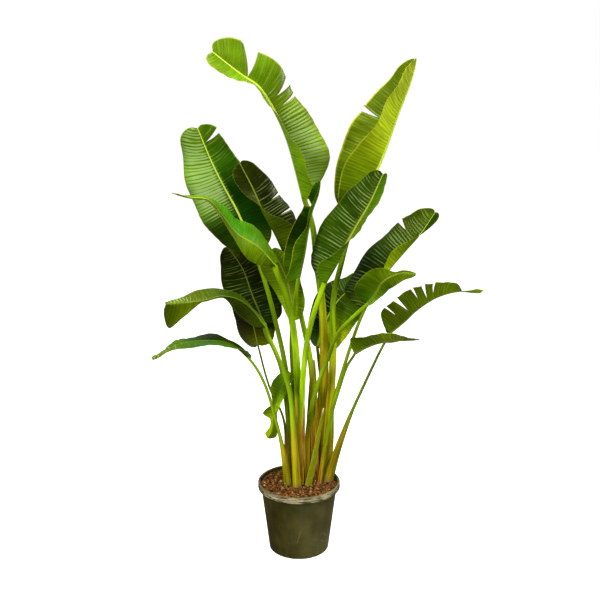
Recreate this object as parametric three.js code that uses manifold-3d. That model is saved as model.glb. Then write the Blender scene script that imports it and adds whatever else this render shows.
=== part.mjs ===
// A bird of paradise plant (white strelitzia) in a round nursery pot.
// Units are millimetres, +Z is up, and the origin is the centre of the pot's underside.
// The plant is seen from the front along +Y, with +X to the right.
// Each leaf is one solid: its sheath stands in a plain hole in the soil, its stalk climbs from
// it, and its blade hangs on the rib that the stalk runs out into.

import * as THREE from "three";
import { mergeVertices } from "three/addons/utils/BufferGeometryUtils.js";
import Module from "manifold-3d";

const wasm = await Module();
wasm.setup();

// ---- Driving dimensions ----

const GAP = 0.3; // space between two pieces that touch
const CLEARANCE = 0.4; // how much wider than a stalk its hole is on each side

const POT = {
  height: 270,
  baseRadius: 115,
  neckRadius: 145, // the wall's outside, just under the lip
  lipRadius: 158,
  lipHeight: 25,
  rimRadius: 149, // the lip's inside
  rimStep: 4, // how far over the neck the inside has widened to the rim
  wall: 4,
  floor: 6,
  sides: 40,
  drainHoles: 6,
  drainRadius: 7,
  drainCircle: 84, // radius of the circle that the drain holes lie on
};

const SOIL = {
  level: 257, // mean height of the surface
  bump: 3.5, // height of its lumps
  rings: 4,
  sides: 40,
  holeDepth: 30,
};

const BLADE = {
  thickness: 1.2,
  step: 50, // length of rib between two rows of vertices
  columns: [0, 0.32, 0.66, 1], // fractions of a half's width
  start: 0.012, // the blade's first and last row, as fractions of the rib
  end: 0.988,
  veinLean: [-0.3, 0.45], // how far the margin leans to the tip: at the blade's base, at its tip
  roundEnd: 0.12, // share of the rib over which each end is rounded
  ripple: 4, // height of the waves at the margin
  rippleLength: 130,
};

const STALK = {
  step: 80,
  sides: 8,
  channel: 0.72, // how far the front of the section is flattened
  overlap: 0.05, // fraction of the rib that the stalk runs on inside the keel
};

const COLOURS = {
  leaf: 0x3f7a1f,
  dry: 0xb5793a,
  pot: 0x3a3a26,
  soil: 0x6b4226,
};

// ---- The leaves ----
// stalk: points from the soil up to the blade's base; the rib goes on from there to the tip.
// face: the way the blade's upper surface looks, once or from base to tip.
// petiole: half width of the stalk at the blade. sheath: half width and half thickness at the
// soil, and the share of the stalk that it takes.
// Each half: its width, its fold up from flat (degrees) and the further turn from the rib out
// to the margin, each as values evenly spaced from base to tip.
// tears: [half, place along the rib, start as a fraction of the half's width, opening].

const LEAVES = {
  leaf_top_arch: {
    stalk: [
      [83, 86, 257], [87, 82, 485], [96, 70, 730],
      [85, 50, 970], [65, 35, 1115], [50, 20, 1250],
    ],
    rib: [
      [20, 5, 1355], [-40, -50, 1565], [-90, -70, 1670],
      [-135, -90, 1735], [-195, -110, 1775], [-285, -145, 1843],
    ],
    face: [[0.25, -0.9, 0.3]],
    petiole: 9.5,
    sheath: [24, 10, 0.75],
    left: { width: [66, 87, 106, 110, 98, 75, 72], fold: [100, 88, 70, 60, 25], curl: [15, 0, -10] },
    right: {
      width: [70, 124, 120, 107, 109, 102, 72],
      fold: [-30, 15, 15, 0, -25],
      curl: [10, -25, -55, -10, 5],
    },
    tears: [["right", 0.53, 0.3, 12], ["right", 0.585, 0.3, 30], ["right", 0.765, 0.05, 60]],
  },
  leaf_top_right: {
    stalk: [[104, 60, 257], [117, 56, 490], [130, 60, 770], [130, 79, 965], [165, 85, 1130]],
    rib: [
      [195, 90, 1270], [240, 95, 1365], [295, 105, 1475],
      [360, 120, 1650], [405, 130, 1765], [425, 135, 1840],
    ],
    face: [[-1, -0.1, 0.3]],
    petiole: 9,
    sheath: [20, 11, 0.65],
    left: { width: [60, 122, 150, 155, 128, 86, 41], fold: [60, 65, 55, 40, 50], curl: [-30, 20, 0] },
    right: { width: [60, 97, 128, 127, 108, 72, 38], fold: [80, 80, 50, 45, 40], curl: [20, -15, -5] },
    tears: [["left", 0.61, 0.5, 22]],
  },
  leaf_big_left: {
    stalk: [[-35, 40, 257], [-35, 45, 500], [-50, 55, 695], [-85, 75, 865], [-130, 95, 1035]],
    rib: [
      [-170, 110, 1145], [-225, 110, 1285], [-285, 110, 1400],
      [-325, 110, 1485], [-370, 105, 1600],
    ],
    face: [[-0.2, -0.95, 0.3]],
    petiole: 8,
    sheath: [14, 9, 0.4],
    left: { width: [55, 104, 132, 140, 133, 104, 78], fold: [-20, 5, -5, -15, -20], curl: [-20, -20, -20] },
    right: { width: [67, 93, 118, 112, 88, 75, 45], fold: [10, 5, 5, 5, 5], curl: [0, 10, 10] },
    tears: [["right", 0.88, 0.15, 20]],
  },
  leaf_whip: {
    stalk: [[0, 35, 257], [0, 25, 465], [-5, 5, 670], [-20, -35, 875], [-45, -65, 1010]],
    rib: [
      [-80, -95, 1125], [-140, -120, 1195], [-210, -150, 1245], [-260, -180, 1315],
      [-300, -205, 1365], [-360, -225, 1375], [-415, -240, 1390],
    ],
    face: [[0.3, -0.3, 0.9]],
    petiole: 11,
    sheath: [18, 9, 0.45],
    left: { width: [15, 52, 68, 46, 16, 4, 3], fold: [-60, -35, 0, 0, 0], curl: [-20, 10, -20] },
    right: { width: [50, 67, 79, 64, 30, 4, 3], fold: [-15, 25, 35, 20, -5], curl: [25, -50, -5] },
    tears: [],
  },
  leaf_dark_left: {
    stalk: [[62, 44, 257], [57, 44, 540], [43, 36, 740], [13, 36, 890], [-15, 40, 1020]],
    rib: [
      [-45, 35, 1135], [-85, 40, 1220], [-130, 45, 1300],
      [-170, 50, 1390], [-215, 60, 1475],
    ],
    face: [[0.2, -0.9, 0.2]],
    petiole: 8,
    sheath: [16, 9, 0.6],
    left: { width: [60, 80, 70, 25, 48, 50, 25], fold: [150, 150, 90, 20, 0], curl: [0, 0, 0, 10, 0] },
    right: { width: [69, 92, 109, 106, 89, 57, 29], fold: [5, -10, -10, -15, 10], curl: [-5, -30, 0] },
    tears: [["right", 0.38, 0.5, 8], ["right", 0.55, 0.5, 9]],
  },
  leaf_folded: {
    stalk: [[12, 78, 257], [0, 60, 490], [-12, 30, 700], [-22, -8, 880], [-15, -20, 980]],
    rib: [
      [-5, -34, 1070], [15, -58, 1160], [30, -70, 1245],
      [45, -80, 1315], [65, -88, 1370], [75, -94, 1420],
    ],
    face: [[-0.9, -0.4, 0.1]],
    petiole: 7,
    sheath: [13, 8, 0.4],
    left: { width: [44, 62, 66, 52, 34, 28, 18], fold: [60, 55, 55, 55, 50], curl: [0, 0, 0] },
    right: { width: [70, 95, 62, 14, 10, 8, 6], fold: [55, 55, 85, 95, 80], curl: [0, 0, 0] },
    tears: [["left", 0.74, 0.05, 34]],
  },
  leaf_mid_right: {
    stalk: [[16, 8, 257], [10, 0, 475], [15, -15, 680], [30, -35, 835], [55, -55, 945]],
    rib: [
      [90, -75, 1060], [130, -85, 1130], [160, -90, 1190],
      [200, -95, 1265], [245, -100, 1345], [290, -95, 1445],
    ],
    face: [[-0.3, -0.9, 0.2]],
    petiole: 9,
    sheath: [14, 9, 0.4],
    left: { width: [88, 115, 128, 118, 100, 68, 40], fold: [-20, -10, -10, -5, 5], curl: [-30, -15, -20] },
    right: { width: [40, 62, 34, 58, 86, 76, 45], fold: [140, 140, 95, 65, 62, 60, 50], curl: [0] },
    tears: [],
  },
  leaf_low_right: {
    stalk: [
      [99, 31, 257], [120, 28, 423], [130, 26, 565], [150, 24, 646],
      [173, 24, 728], [195, 24, 802], [224, 28, 890],
    ],
    rib: [[245, 35, 940], [330, 55, 1078], [388, 65, 1146], [450, 75, 1215], [505, 85, 1295]],
    face: [[-0.3, -0.85, 0.4]],
    petiole: 6,
    sheath: [24, 7, 0.4],
    left: { width: [88, 117, 139, 135, 113, 72, 36], fold: [20, 0, -5, -5, 20], curl: [-25, -35, 15] },
    right: { width: [10, 12, 20, 48, 32, 48, 30], fold: [125, 125, 125, 75, 25], curl: [0, 0, 0, 0, -10] },
    tears: [["left", 0.71, 0.55, 20]],
  },
  leaf_right_curl: {
    stalk: [
      [29, 45, 257], [37, 36, 481], [54, 20, 585], [76, 4, 670],
      [108, -12, 762], [139, -42, 858], [185, -58, 918],
    ],
    rib: [
      [244, -75, 981], [264, -85, 1009], [278, -95, 1036], [294, -105, 1067],
      [323, -115, 1089], [359, -130, 1104], [405, -150, 1104],
    ],
    face: [[-0.2, -0.9, 0.4]],
    petiole: 7,
    sheath: [13, 9, 0.35],
    left: { width: [40, 70, 72, 45, 8, 6, 5], fold: [15, 15, 10, 0, 0], curl: [20, 20, 0] },
    right: { width: [8, 14, 28, 34, 30, 20, 9], fold: [-10, -10, -20, -20, -10], curl: [0] },
    tears: [],
  },
  leaf_far_right: {
    stalk: [[111, 6, 257], [142, 20, 365], [196, 40, 515], [250, 60, 635], [310, 85, 760]],
    rib: [
      [345, 100, 830], [405, 115, 875], [450, 125, 915],
      [525, 140, 960], [610, 160, 980], [715, 180, 975],
    ],
    face: [[-0.35, 0.1, 1]],
    petiole: 5,
    sheath: [20, 8, 0.5],
    left: { width: [60, 85, 95, 80, 45, 9, 14], fold: [10, 0, -5, -10, -45], curl: [0, 0, 0] },
    right: {
      width: [50, 86, 104, 106, 100, 86, 66, 52, 5, 17, 15],
      fold: [85, 65, 65, 45, 35],
      curl: [20, -20, -30],
    },
    tears: [
      ["right", 0.155, 0.45, 9], ["right", 0.265, 0.25, 18], ["right", 0.39, 0.4, 10],
      ["right", 0.46, 0.2, 16], ["right", 0.52, 0.3, 12],
    ],
  },
  leaf_right_level: {
    stalk: [[80, -6, 257], [99, -8, 417], [123, -10, 538], [152, -18, 648], [174, -30, 725]],
    rib: [
      [200, -95, 805], [235, -110, 830], [275, -125, 850],
      [330, -145, 865], [375, -160, 870], [420, -175, 875],
    ],
    face: [[0, 0.1, 1]],
    petiole: 5,
    sheath: [9, 6, 0.3],
    left: { width: [45, 61, 74, 74, 64, 44, 25], fold: [20, 0, -10, -10, 0], curl: [0, 0, 0] },
    right: { width: [42, 57, 69, 69, 60, 41, 23], fold: [90, 40, 35, 30, 15], curl: [30, -10, 10] },
    tears: [],
  },
  leaf_left_fold: {
    stalk: [
      [-7, -35, 257], [-20, -45, 490], [-35, -60, 655],
      [-80, -85, 795], [-110, -105, 875],
    ],
    rib: [
      [-117, -115, 906], [-172, -130, 982], [-222, -145, 1018], [-274, -155, 1027],
      [-325, -165, 1015], [-375, -175, 1010], [-420, -180, 1008], [-460, -185, 1005],
    ],
    face: [[0.3, -0.2, 1], [0, -0.1, 1]],
    petiole: 8,
    sheath: [17, 8, 0.45],
    left: {
      width: [12, 32, 42, 44, 30, 5, 4, 8, 44, 90, 66],
      fold: [-60, -60, -70, -80, -80],
      curl: [-10, -10, -10],
    },
    right: {
      width: [12, 14, 14, 14, 20, 30, 42, 42, 32, 18, 10],
      fold: [10, 20, 35, 35, 30],
      curl: [0, 0, 0],
    },
    tears: [],
  },
  leaf_left_low: {
    stalk: [
      [-40, -25, 257], [-64, -40, 430], [-93, -60, 565],
      [-121, -85, 675], [-155, -115, 760],
    ],
    rib: [
      [-180, -135, 805], [-215, -160, 845], [-255, -185, 870],
      [-330, -220, 885], [-410, -255, 880], [-495, -285, 840],
    ],
    face: [[0, -0.1, 1]],
    petiole: 5,
    sheath: [17, 8, 0.4],
    left: { width: [35, 60, 79, 77, 60, 34, 15], fold: [0, 0, -5, 0, 0], curl: [0, 20, 0] },
    right: { width: [47, 63, 72, 70, 46, 24, 12], fold: [14, 10, 5, 0, 0], curl: [0, -20, 0] },
    tears: [],
  },
  leaf_back_left: {
    stalk: [[-32, 105, 257], [-45, 115, 470], [-70, 135, 670], [-100, 150, 760]],
    rib: [
      [-135, 165, 850], [-160, 170, 910], [-185, 180, 970],
      [-215, 190, 1055], [-245, 195, 1105], [-280, 200, 1150],
    ],
    face: [[-0.2, -0.9, 0.2]],
    petiole: 6,
    sheath: [12, 8, 0.4],
    left: { width: [72, 96, 114, 111, 93, 60, 30], fold: [-30, -15, -10, 0, 0], curl: [-30, -10, -10] },
    right: { width: [69, 92, 109, 106, 89, 57, 29], fold: [10, 10, 10, 10, 0], curl: [0, 0, 0] },
    tears: [],
  },
  leaf_back_low: {
    stalk: [[-51, 70, 257], [-60, 85, 485], [-115, 130, 600]],
    rib: [[-165, 225, 745], [-180, 240, 810], [-195, 250, 885], [-205, 255, 965]],
    face: [[-0.1, -0.9, -0.3]],
    petiole: 4,
    sheath: [11, 7, 0.35],
    left: { width: [60, 80, 94, 92, 77, 49, 25], fold: [-35, -20, -15, 0, 5], curl: [-30, -20, 0] },
    right: { width: [57, 76, 89, 87, 73, 47, 23], fold: [10, 5, 5, 5, 0], curl: [0, 0, 0] },
    tears: [],
  },
  leaf_back_centre: {
    stalk: [[-18, 72, 257], [-20, 70, 490], [-26, 60, 690], [-30, 45, 795]],
    rib: [[-25, 22, 900], [-25, 15, 970], [-40, 12, 1045], [-70, 12, 1115], [-100, 12, 1165]],
    face: [[0.3, 0.9, 0.2]],
    petiole: 6,
    sheath: [12, 8, 0.4],
    left: { width: [25, 39, 48, 50, 51, 39, 25], fold: [8, 5, 0, -5, 0], curl: [5, -10, 5] },
    right: { width: [25, 36, 55, 75, 80, 67, 43], fold: [10, 5, 0, 0, -20], curl: [20, 10, -20] },
    tears: [],
  },
  leaf_back_right: {
    stalk: [[58, 112, 257], [76, 117, 430], [88, 124, 595]],
    rib: [[70, 130, 765], [105, 140, 870], [150, 150, 945], [190, 155, 985], [245, 165, 1040]],
    face: [[-0.3, -0.9, 0.3]],
    petiole: 6,
    sheath: [12, 8, 0.4],
    left: { width: [59, 86, 104, 105, 92, 52, 28], fold: [-30, -20, -15, -20, -10], curl: [-40, -20, -15] },
    right: { width: [62, 86, 108, 115, 108, 86, 62], fold: [10, 10, 10, 10, 0], curl: [0, 0, 0] },
    tears: [],
  },
  leaf_small_low: {
    stalk: [[-31, 5, 257], [-41, 2, 435], [-46, -10, 600], [-38, -18, 690]],
    rib: [
      [-29, -22, 707], [-55, -28, 674], [-78, -26, 626], [-91, -30, 576],
      [-95, -32, 530], [-101, -32, 482], [-116, -30, 453],
    ],
    face: [[-0.3, -0.9, 0.2]],
    petiole: 4,
    sheath: [9, 6, 0.5],
    left: {
      width: [12, 20, 24, 26, 22, 18, 14, 16, 18, 20, 8],
      fold: [10, 0, 0],
      curl: [0, 0, 20, 20, 40],
    },
    right: {
      width: [20, 28, 38, 38, 20, 12, 42, 12, 10, 24, 12],
      fold: [-10, 0, 10],
      curl: [0, 0, 40, 40, 60],
    },
    tears: [],
  },
};

// ---- Small maths ----

const vector = ([x, y, z]) => new THREE.Vector3(x, y, z);
const mix = (a, b, t) => a + (b - a) * t;

// A smooth run through evenly spaced values.
function keyed(values, t) {
  const last = values.length - 1;
  const place = THREE.MathUtils.clamp(t, 0, 1) * last;
  const index = Math.max(0, Math.min(Math.floor(place), last - 1));
  const part = place - index;
  const [a, b, c, d] = [-1, 0, 1, 2].map((k) => values[THREE.MathUtils.clamp(index + k, 0, last)]);
  const bend = (2 * a - 5 * b + 4 * c - d) * part ** 2;
  const twist = (3 * b - a - 3 * c + d) * part ** 3;
  return (2 * b + (c - a) * part + bend + twist) / 2;
}

const keyedVector = (vectors, t) =>
  new THREE.Vector3(...[0, 1, 2].map((k) => keyed(vectors.map((v) => v[k]), t)));

// A half's width at a fraction of the rib, rounded off towards both ends.
function widthAt(half, t) {
  const toEnd = Math.min(1, t / BLADE.roundEnd, (1 - t) / BLADE.roundEnd);
  return keyed(half.width, t) * Math.sqrt(toEnd * (2 - toEnd));
}

// ---- Meshes and solids ----

function geometryOf(positions, triangles) {
  const geometry = new THREE.BufferGeometry();
  geometry.setAttribute("position", new THREE.Float32BufferAttribute(positions, 3));
  geometry.setIndex(triangles);
  return geometry;
}

function solidOf(geometry) {
  const bare = geometry.clone();
  bare.deleteAttribute("normal");
  bare.deleteAttribute("uv");
  const merged = mergeVertices(bare);
  return new wasm.Manifold(
    new wasm.Mesh({
      numProp: 3,
      vertProperties: merged.attributes.position.array,
      triVerts: new Uint32Array(merged.index.array),
    }),
  );
}

function geometryFrom(solid) {
  const mesh = solid.getMesh();
  return geometryOf(Array.from(mesh.vertProperties), Array.from(mesh.triVerts));
}

// Rings of equally many points, joined into a tube with flat ends.
function tubeOf(rings) {
  const sides = rings[0].length;
  const positions = rings.flat().flatMap((p) => p.toArray());
  const triangles = [];
  for (let ring = 0; ring < rings.length - 1; ring++) {
    for (let side = 0; side < sides; side++) {
      const a = ring * sides + side;
      const b = ring * sides + ((side + 1) % sides);
      triangles.push(a, b, b + sides, a, b + sides, a + sides);
    }
  }
  const last = (rings.length - 1) * sides;
  for (let side = 1; side < sides - 1; side++) {
    triangles.push(0, side + 1, side);
    triangles.push(last, last + side, last + side + 1);
  }
  return geometryOf(positions, triangles);
}

// A sheet given by its upper and lower corners and its faces (seen from above, anticlockwise),
// closed by a wall along every free edge. Both faces are split along the same diagonals.
function sheetSolid(upper, lower, quads) {
  const count = upper.length;
  const positions = [...upper, ...lower].flatMap((p) => p.toArray());
  const triangles = [];
  const edges = new Map();
  for (const [a, b, c, d] of quads) {
    triangles.push(a, b, c, a, c, d);
    triangles.push(a + count, c + count, b + count, a + count, d + count, c + count);
    for (const [from, to] of [[a, b], [b, c], [c, d], [d, a]]) edges.set(`${from},${to}`, [from, to]);
  }
  for (const [from, to] of edges.values()) {
    if (edges.has(`${to},${from}`)) continue;
    triangles.push(to, from, from + count, to, from + count, to + count);
  }
  return geometryOf(positions, triangles);
}

// ---- Leaf blade ----

// The rib's place and directions at a fraction of its length.
function ribFrame(curve, face, t) {
  const centre = curve.getPointAt(t);
  const along = curve.getTangentAt(t);
  const up = keyedVector(face, t);
  up.addScaledVector(along, -up.dot(along)).normalize();
  const across = new THREE.Vector3().crossVectors(along, up);
  return { centre, along, up, across };
}

// Half width and depth of the keel that the rib makes under the blade.
const keelWidth = (leaf, t) => leaf.petiole * mix(0.75, 0.2, t);
const keelDepth = (leaf, t) => leaf.petiole * mix(1.3, 0.3, t);

// The points of one row of a half, from the keel's edge to the margin.
function halfRow(leaf, half, side, frame, t, length) {
  const width = widthAt(half, t);
  const fold = THREE.MathUtils.degToRad(keyed(half.fold, t));
  const curl = THREE.MathUtils.degToRad(keyed(half.curl, t));
  const lean = mix(...BLADE.veinLean, t);
  const wave = BLADE.ripple * Math.sin((2 * Math.PI * t * length) / BLADE.rippleLength + side);
  const point = frame.centre.clone().addScaledVector(frame.across, side * keelWidth(leaf, t));
  const row = [point.clone()];
  for (let column = 1; column < BLADE.columns.length; column++) {
    const inner = BLADE.columns[column - 1];
    const outer = BLADE.columns[column];
    const angle = fold + (curl * (inner + outer)) / 2;
    const step = width * (outer - inner);
    point.addScaledVector(frame.across, side * Math.cos(angle) * step);
    point.addScaledVector(frame.up, Math.sin(angle) * step);
    point.addScaledVector(frame.along, lean * width * (outer ** 1.6 - inner ** 1.6));
    const rise = new THREE.Vector3()
      .addScaledVector(frame.across, -side * Math.sin(angle))
      .addScaledVector(frame.up, Math.cos(angle));
    row.push(point.clone().addScaledVector(rise, wave * outer ** 2));
  }
  return row;
}

// Rows at even steps, with one at each tear.
function rowPlaces(leaf, length) {
  const count = Math.max(6, Math.round(length / BLADE.step));
  const tears = leaf.tears.map(([, place]) => place);
  const even = Array.from({ length: count + 1 }, (_, i) => mix(BLADE.start, BLADE.end, i / count));
  const inner = even.slice(1, -1).filter((t) => tears.every((place) => Math.abs(place - t) > 0.4 / count));
  return [...new Set([even[0], ...inner, ...tears, even[count]])].sort((a, b) => a - b);
}

function bladeSolid(leaf, curve) {
  const length = curve.getLength();
  const places = rowPlaces(leaf, length);
  const outer = BLADE.columns.length - 1;
  const upper = [];
  const keels = new Map();
  const below = []; // vertex numbers of each row as the rows before it see them
  const above = []; // and as the rows after it see them

  for (const t of places) {
    const frame = ribFrame(curve, leaf.face, t);
    const left = halfRow(leaf, leaf.left, -1, frame, t, length).reverse();
    const right = halfRow(leaf, leaf.right, 1, frame, t, length);
    const points = [...left, frame.centre, ...right];
    const numbers = points.map((point) => upper.push(point) - 1);
    keels.set(numbers[outer + 1], frame.up.clone().multiplyScalar(-keelDepth(leaf, t)));
    const before = [...numbers];
    const after = [...numbers];
    for (const [name, place, start, opening] of leaf.tears) {
      if (place !== t) continue;
      for (let column = 1; column <= outer; column++) {
        const apart = (BLADE.columns[column] - start) / (1 - start);
        if (BLADE.columns[column - 1] < start - 0.2 || apart <= 0.15) continue;
        const index = name === "left" ? outer - column : outer + 2 + column;
        const shift = frame.along.clone().multiplyScalar((opening / 2) * apart);
        after[index] = upper.push(points[index].clone().add(shift)) - 1;
        points[index].sub(shift);
      }
    }
    below.push(before);
    above.push(after);
  }

  const quads = [];
  for (let row = 0; row < places.length - 1; row++) {
    for (let column = 0; column < below[row].length - 1; column++) {
      const next = below[row + 1];
      quads.push([above[row][column], above[row][column + 1], next[column + 1], next[column]]);
    }
  }

  const normals = upper.map(() => new THREE.Vector3());
  for (const quad of quads) {
    const [a, b, c, d] = quad.map((number) => upper[number]);
    const normal = new THREE.Vector3().crossVectors(c.clone().sub(a), d.clone().sub(b)).normalize();
    for (const number of quad) normals[number].add(normal);
  }
  const lower = upper.map((point, number) => {
    const drop = keels.get(number) ?? normals[number].normalize().multiplyScalar(-BLADE.thickness);
    return point.clone().add(drop);
  });
  return solidOf(sheetSolid(upper, lower, quads));
}

// ---- Stalk and sheath ----

// The stalk's section: rounded behind and flattened in front, where its channel runs.
function stalkRing(centre, along, halfWidth, halfDepth) {
  const front = new THREE.Vector3(0, -1, 0);
  front.addScaledVector(along, -front.dot(along)).normalize();
  const across = new THREE.Vector3().crossVectors(front, along);
  return Array.from({ length: STALK.sides }, (_, side) => {
    const angle = (2 * Math.PI * side) / STALK.sides;
    const depth = Math.sin(angle) * halfDepth * (Math.sin(angle) > 0 ? STALK.channel : 1);
    return centre
      .clone()
      .addScaledVector(across, Math.cos(angle) * halfWidth)
      .addScaledVector(front, depth);
  });
}

// Half width and half depth of the stalk at a fraction of its length.
function stalkSize(leaf, s) {
  const [width, depth, share] = leaf.sheath;
  const part = Math.min(s / share, 1);
  const swell = 1.25 - 0.25 * Math.max(0, (s - share) / (1 - share));
  return [mix(width, leaf.petiole * swell, part), mix(depth, leaf.petiole * swell, part)];
}

// The buried foot goes straight on below the lowest point of the stalk.
function footOf(stalk) {
  const [first, second] = stalk.map(vector);
  const down = first.clone().sub(second).normalize();
  return first.clone().addScaledVector(down, SOIL.holeDepth);
}

// The stalk's rings from its foot to inside the keel, made wider by a clearance if one is given.
function stalkRings(leaf, rib, clearance = 0) {
  const points = [footOf(leaf.stalk), ...leaf.stalk.map(vector), vector(leaf.rib[0])];
  const curve = new THREE.CatmullRomCurve3(points, false, "centripetal");
  const length = curve.getLength();
  const count = Math.round(length / STALK.step);
  const base = ribFrame(rib, leaf.face, 0);
  const rings = [];
  for (let i = 0; i <= count; i++) {
    const u = i / count;
    const s = Math.max(0, (u * length - SOIL.holeDepth) / (length - SOIL.holeDepth));
    const sink = THREE.MathUtils.smoothstep(u, 0.85, 1) * leaf.petiole * 0.6;
    const centre = curve.getPointAt(u).addScaledVector(base.up, -sink);
    const [width, depth] = stalkSize(leaf, s);
    rings.push(stalkRing(centre, curve.getTangentAt(u), width + clearance, depth + clearance));
  }
  const end = ribFrame(rib, leaf.face, STALK.overlap);
  const centre = end.centre.clone().addScaledVector(end.up, -keelDepth(leaf, STALK.overlap) * 0.5);
  rings.push(stalkRing(centre, end.along, leaf.petiole * 0.3, leaf.petiole * 0.3));
  return rings;
}

const ribCurve = (leaf) => new THREE.CatmullRomCurve3(leaf.rib.map(vector), false, "centripetal");

function leafSolid(leaf) {
  const rib = ribCurve(leaf);
  return bladeSolid(leaf, rib).add(solidOf(tubeOf(stalkRings(leaf, rib))));
}

// ---- Old sheaths: cut stubs of earlier leaves that stand in the soil between the stalks ----
// foot and tip, then half width and half thickness at the foot. The newest is still green.

const OLD_SHEATHS = {
  old_sheath_front: { foot: [-46, -48, 257], tip: [-52, -48, 280], size: [5, 2.5], colour: COLOURS.dry },
  old_sheath_pale: { foot: [58, -14, 257], tip: [64, -18, 276], size: [5, 2.5], colour: COLOURS.dry },
  old_sheath_brown: { foot: [70, 22, 257], tip: [56, 20, 335], size: [12, 3], colour: COLOURS.dry },
  old_sheath_green: { foot: [35, -22, 257], tip: [94, -22, 570], size: [14, 5], colour: COLOURS.leaf },
  old_sheath_centre: { foot: [8, -20, 257], tip: [22, -25, 592], size: [10, 3], colour: COLOURS.dry },
  old_sheath_left: { foot: [-12, -8, 257], tip: [-27, -4, 590], size: [9, 3], colour: COLOURS.dry },
  old_sheath_back: { foot: [44, 66, 257], tip: [56, 58, 735], size: [33, 4], colour: COLOURS.dry },
};

function oldSheathRings({ foot, tip, size }, clearance = 0) {
  const bottom = footOf([foot, tip]);
  const top = vector(tip);
  const along = top.clone().sub(bottom).normalize();
  const [width, depth] = size;
  return [0, 0.5, 0.8, 1].map((s) => {
    const taper = Math.sqrt(1 - 0.96 * s);
    return stalkRing(bottom.clone().lerp(top, s), along, width * taper + clearance, depth + clearance);
  });
}

// ---- Pot ----

function potSolid() {
  const { height, baseRadius, neckRadius, lipRadius, rimRadius, wall, floor, sides } = POT;
  const neck = height - POT.lipHeight;
  const profile = [
    [0, 0],
    [baseRadius - 4, 0],
    [baseRadius, 4],
    [neckRadius, neck],
    [lipRadius - 4, neck],
    [lipRadius, neck + 4],
    [lipRadius, height - 5],
    [lipRadius - 2, height - 1],
    [rimRadius + 3, height],
    [rimRadius, height - 3],
    [rimRadius, neck + POT.rimStep],
    [neckRadius - wall, neck],
    [baseRadius - wall, floor],
    [0, floor],
  ];
  const points = profile.map(([radius, z]) => new THREE.Vector2(radius, z));
  const shell = solidOf(new THREE.LatheGeometry(points, sides).rotateX(Math.PI / 2));
  return drainHoles().reduce((body, hole) => body.subtract(hole), shell);
}

function drainHoles() {
  return Array.from({ length: POT.drainHoles }, (_, i) => {
    const angle = (2 * Math.PI * i) / POT.drainHoles;
    const hole = new THREE.CylinderGeometry(POT.drainRadius, POT.drainRadius, POT.floor * 4, 10);
    hole.rotateX(Math.PI / 2);
    hole.translate(POT.drainCircle * Math.cos(angle), POT.drainCircle * Math.sin(angle), 0);
    return solidOf(hole);
  });
}

// ---- Soil ----

const innerRadius = (z) => {
  const share = (z - POT.floor) / (POT.height - POT.lipHeight - POT.floor);
  return mix(POT.baseRadius, POT.neckRadius, share) - POT.wall;
};

function soilHeight(x, y) {
  const lumps = Math.sin(x / 19 + 1) * Math.cos(y / 23) + 0.6 * Math.sin((x + 2 * y) / 31);
  return SOIL.level + SOIL.bump * lumps;
}

function soilSolid(holes) {
  const { rings, sides } = SOIL;
  const neck = POT.height - POT.lipHeight;
  const floor = POT.floor + GAP;
  const slack = GAP / Math.cos(Math.PI / sides);
  const positions = [0, 0, soilHeight(0, 0)];
  const ring = (radius, height) => {
    for (let side = 0; side < sides; side++) {
      const angle = (2 * Math.PI * side) / sides;
      const x = radius * Math.cos(angle);
      const y = radius * Math.sin(angle);
      positions.push(x, y, height(x, y));
    }
  };
  for (let i = 1; i <= rings; i++) ring(((POT.rimRadius - slack) * i) / rings, soilHeight);
  ring(POT.rimRadius - slack, () => neck + POT.rimStep + GAP);
  ring(innerRadius(neck) - slack, () => neck + GAP);
  ring(innerRadius(floor) - slack, () => floor);
  positions.push(0, 0, floor);

  const triangles = [];
  const last = rings + 2;
  const number = (i, side) => 1 + i * sides + (side % sides);
  for (let side = 0; side < sides; side++) {
    triangles.push(0, number(0, side), number(0, side + 1));
    for (let i = 0; i < last; i++) {
      const [a, b] = [number(i, side), number(i, side + 1)];
      const [c, d] = [number(i + 1, side + 1), number(i + 1, side)];
      triangles.push(a, d, c, a, c, b);
    }
    const bottom = positions.length / 3 - 1;
    triangles.push(bottom, number(last, side + 1), number(last, side));
  }
  const block = solidOf(geometryOf(positions, triangles));
  return holes.reduce((body, hole) => body.subtract(hole), block);
}

// The plain hole for a stalk or a stub: its lowest rings with clearance round and under them.
function plainHole(rings, count) {
  const down = rings[0][0].clone().sub(rings[1][0]).normalize();
  const bottom = rings[0].map((point) => point.clone().addScaledVector(down, GAP));
  return solidOf(tubeOf([bottom, ...rings.slice(1, count)]));
}

// ---- The plant ----

const plant = new THREE.Group();

function place(name, solid, colour, roughness) {
  const material = new THREE.MeshStandardMaterial({ color: colour, roughness, metalness: 0 });
  const mesh = new THREE.Mesh(geometryFrom(solid), material);
  mesh.name = name;
  plant.add(mesh);
}

const holes = [];
for (const [name, leaf] of Object.entries(LEAVES)) {
  place(name, leafSolid(leaf), COLOURS.leaf, 0.4);
  holes.push(plainHole(stalkRings(leaf, ribCurve(leaf), CLEARANCE), 2));
}
for (const [name, sheath] of Object.entries(OLD_SHEATHS)) {
  place(name, solidOf(tubeOf(oldSheathRings(sheath))), sheath.colour, 0.7);
  holes.push(plainHole(oldSheathRings(sheath, CLEARANCE), 4));
}
place("soil", soilSolid(holes), COLOURS.soil, 1);
place("pot", potSolid(), COLOURS.pot, 0.6);

export default plant;
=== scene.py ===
"""A white bird of paradise in a round nursery pot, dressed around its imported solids."""

import math
import random

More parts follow.
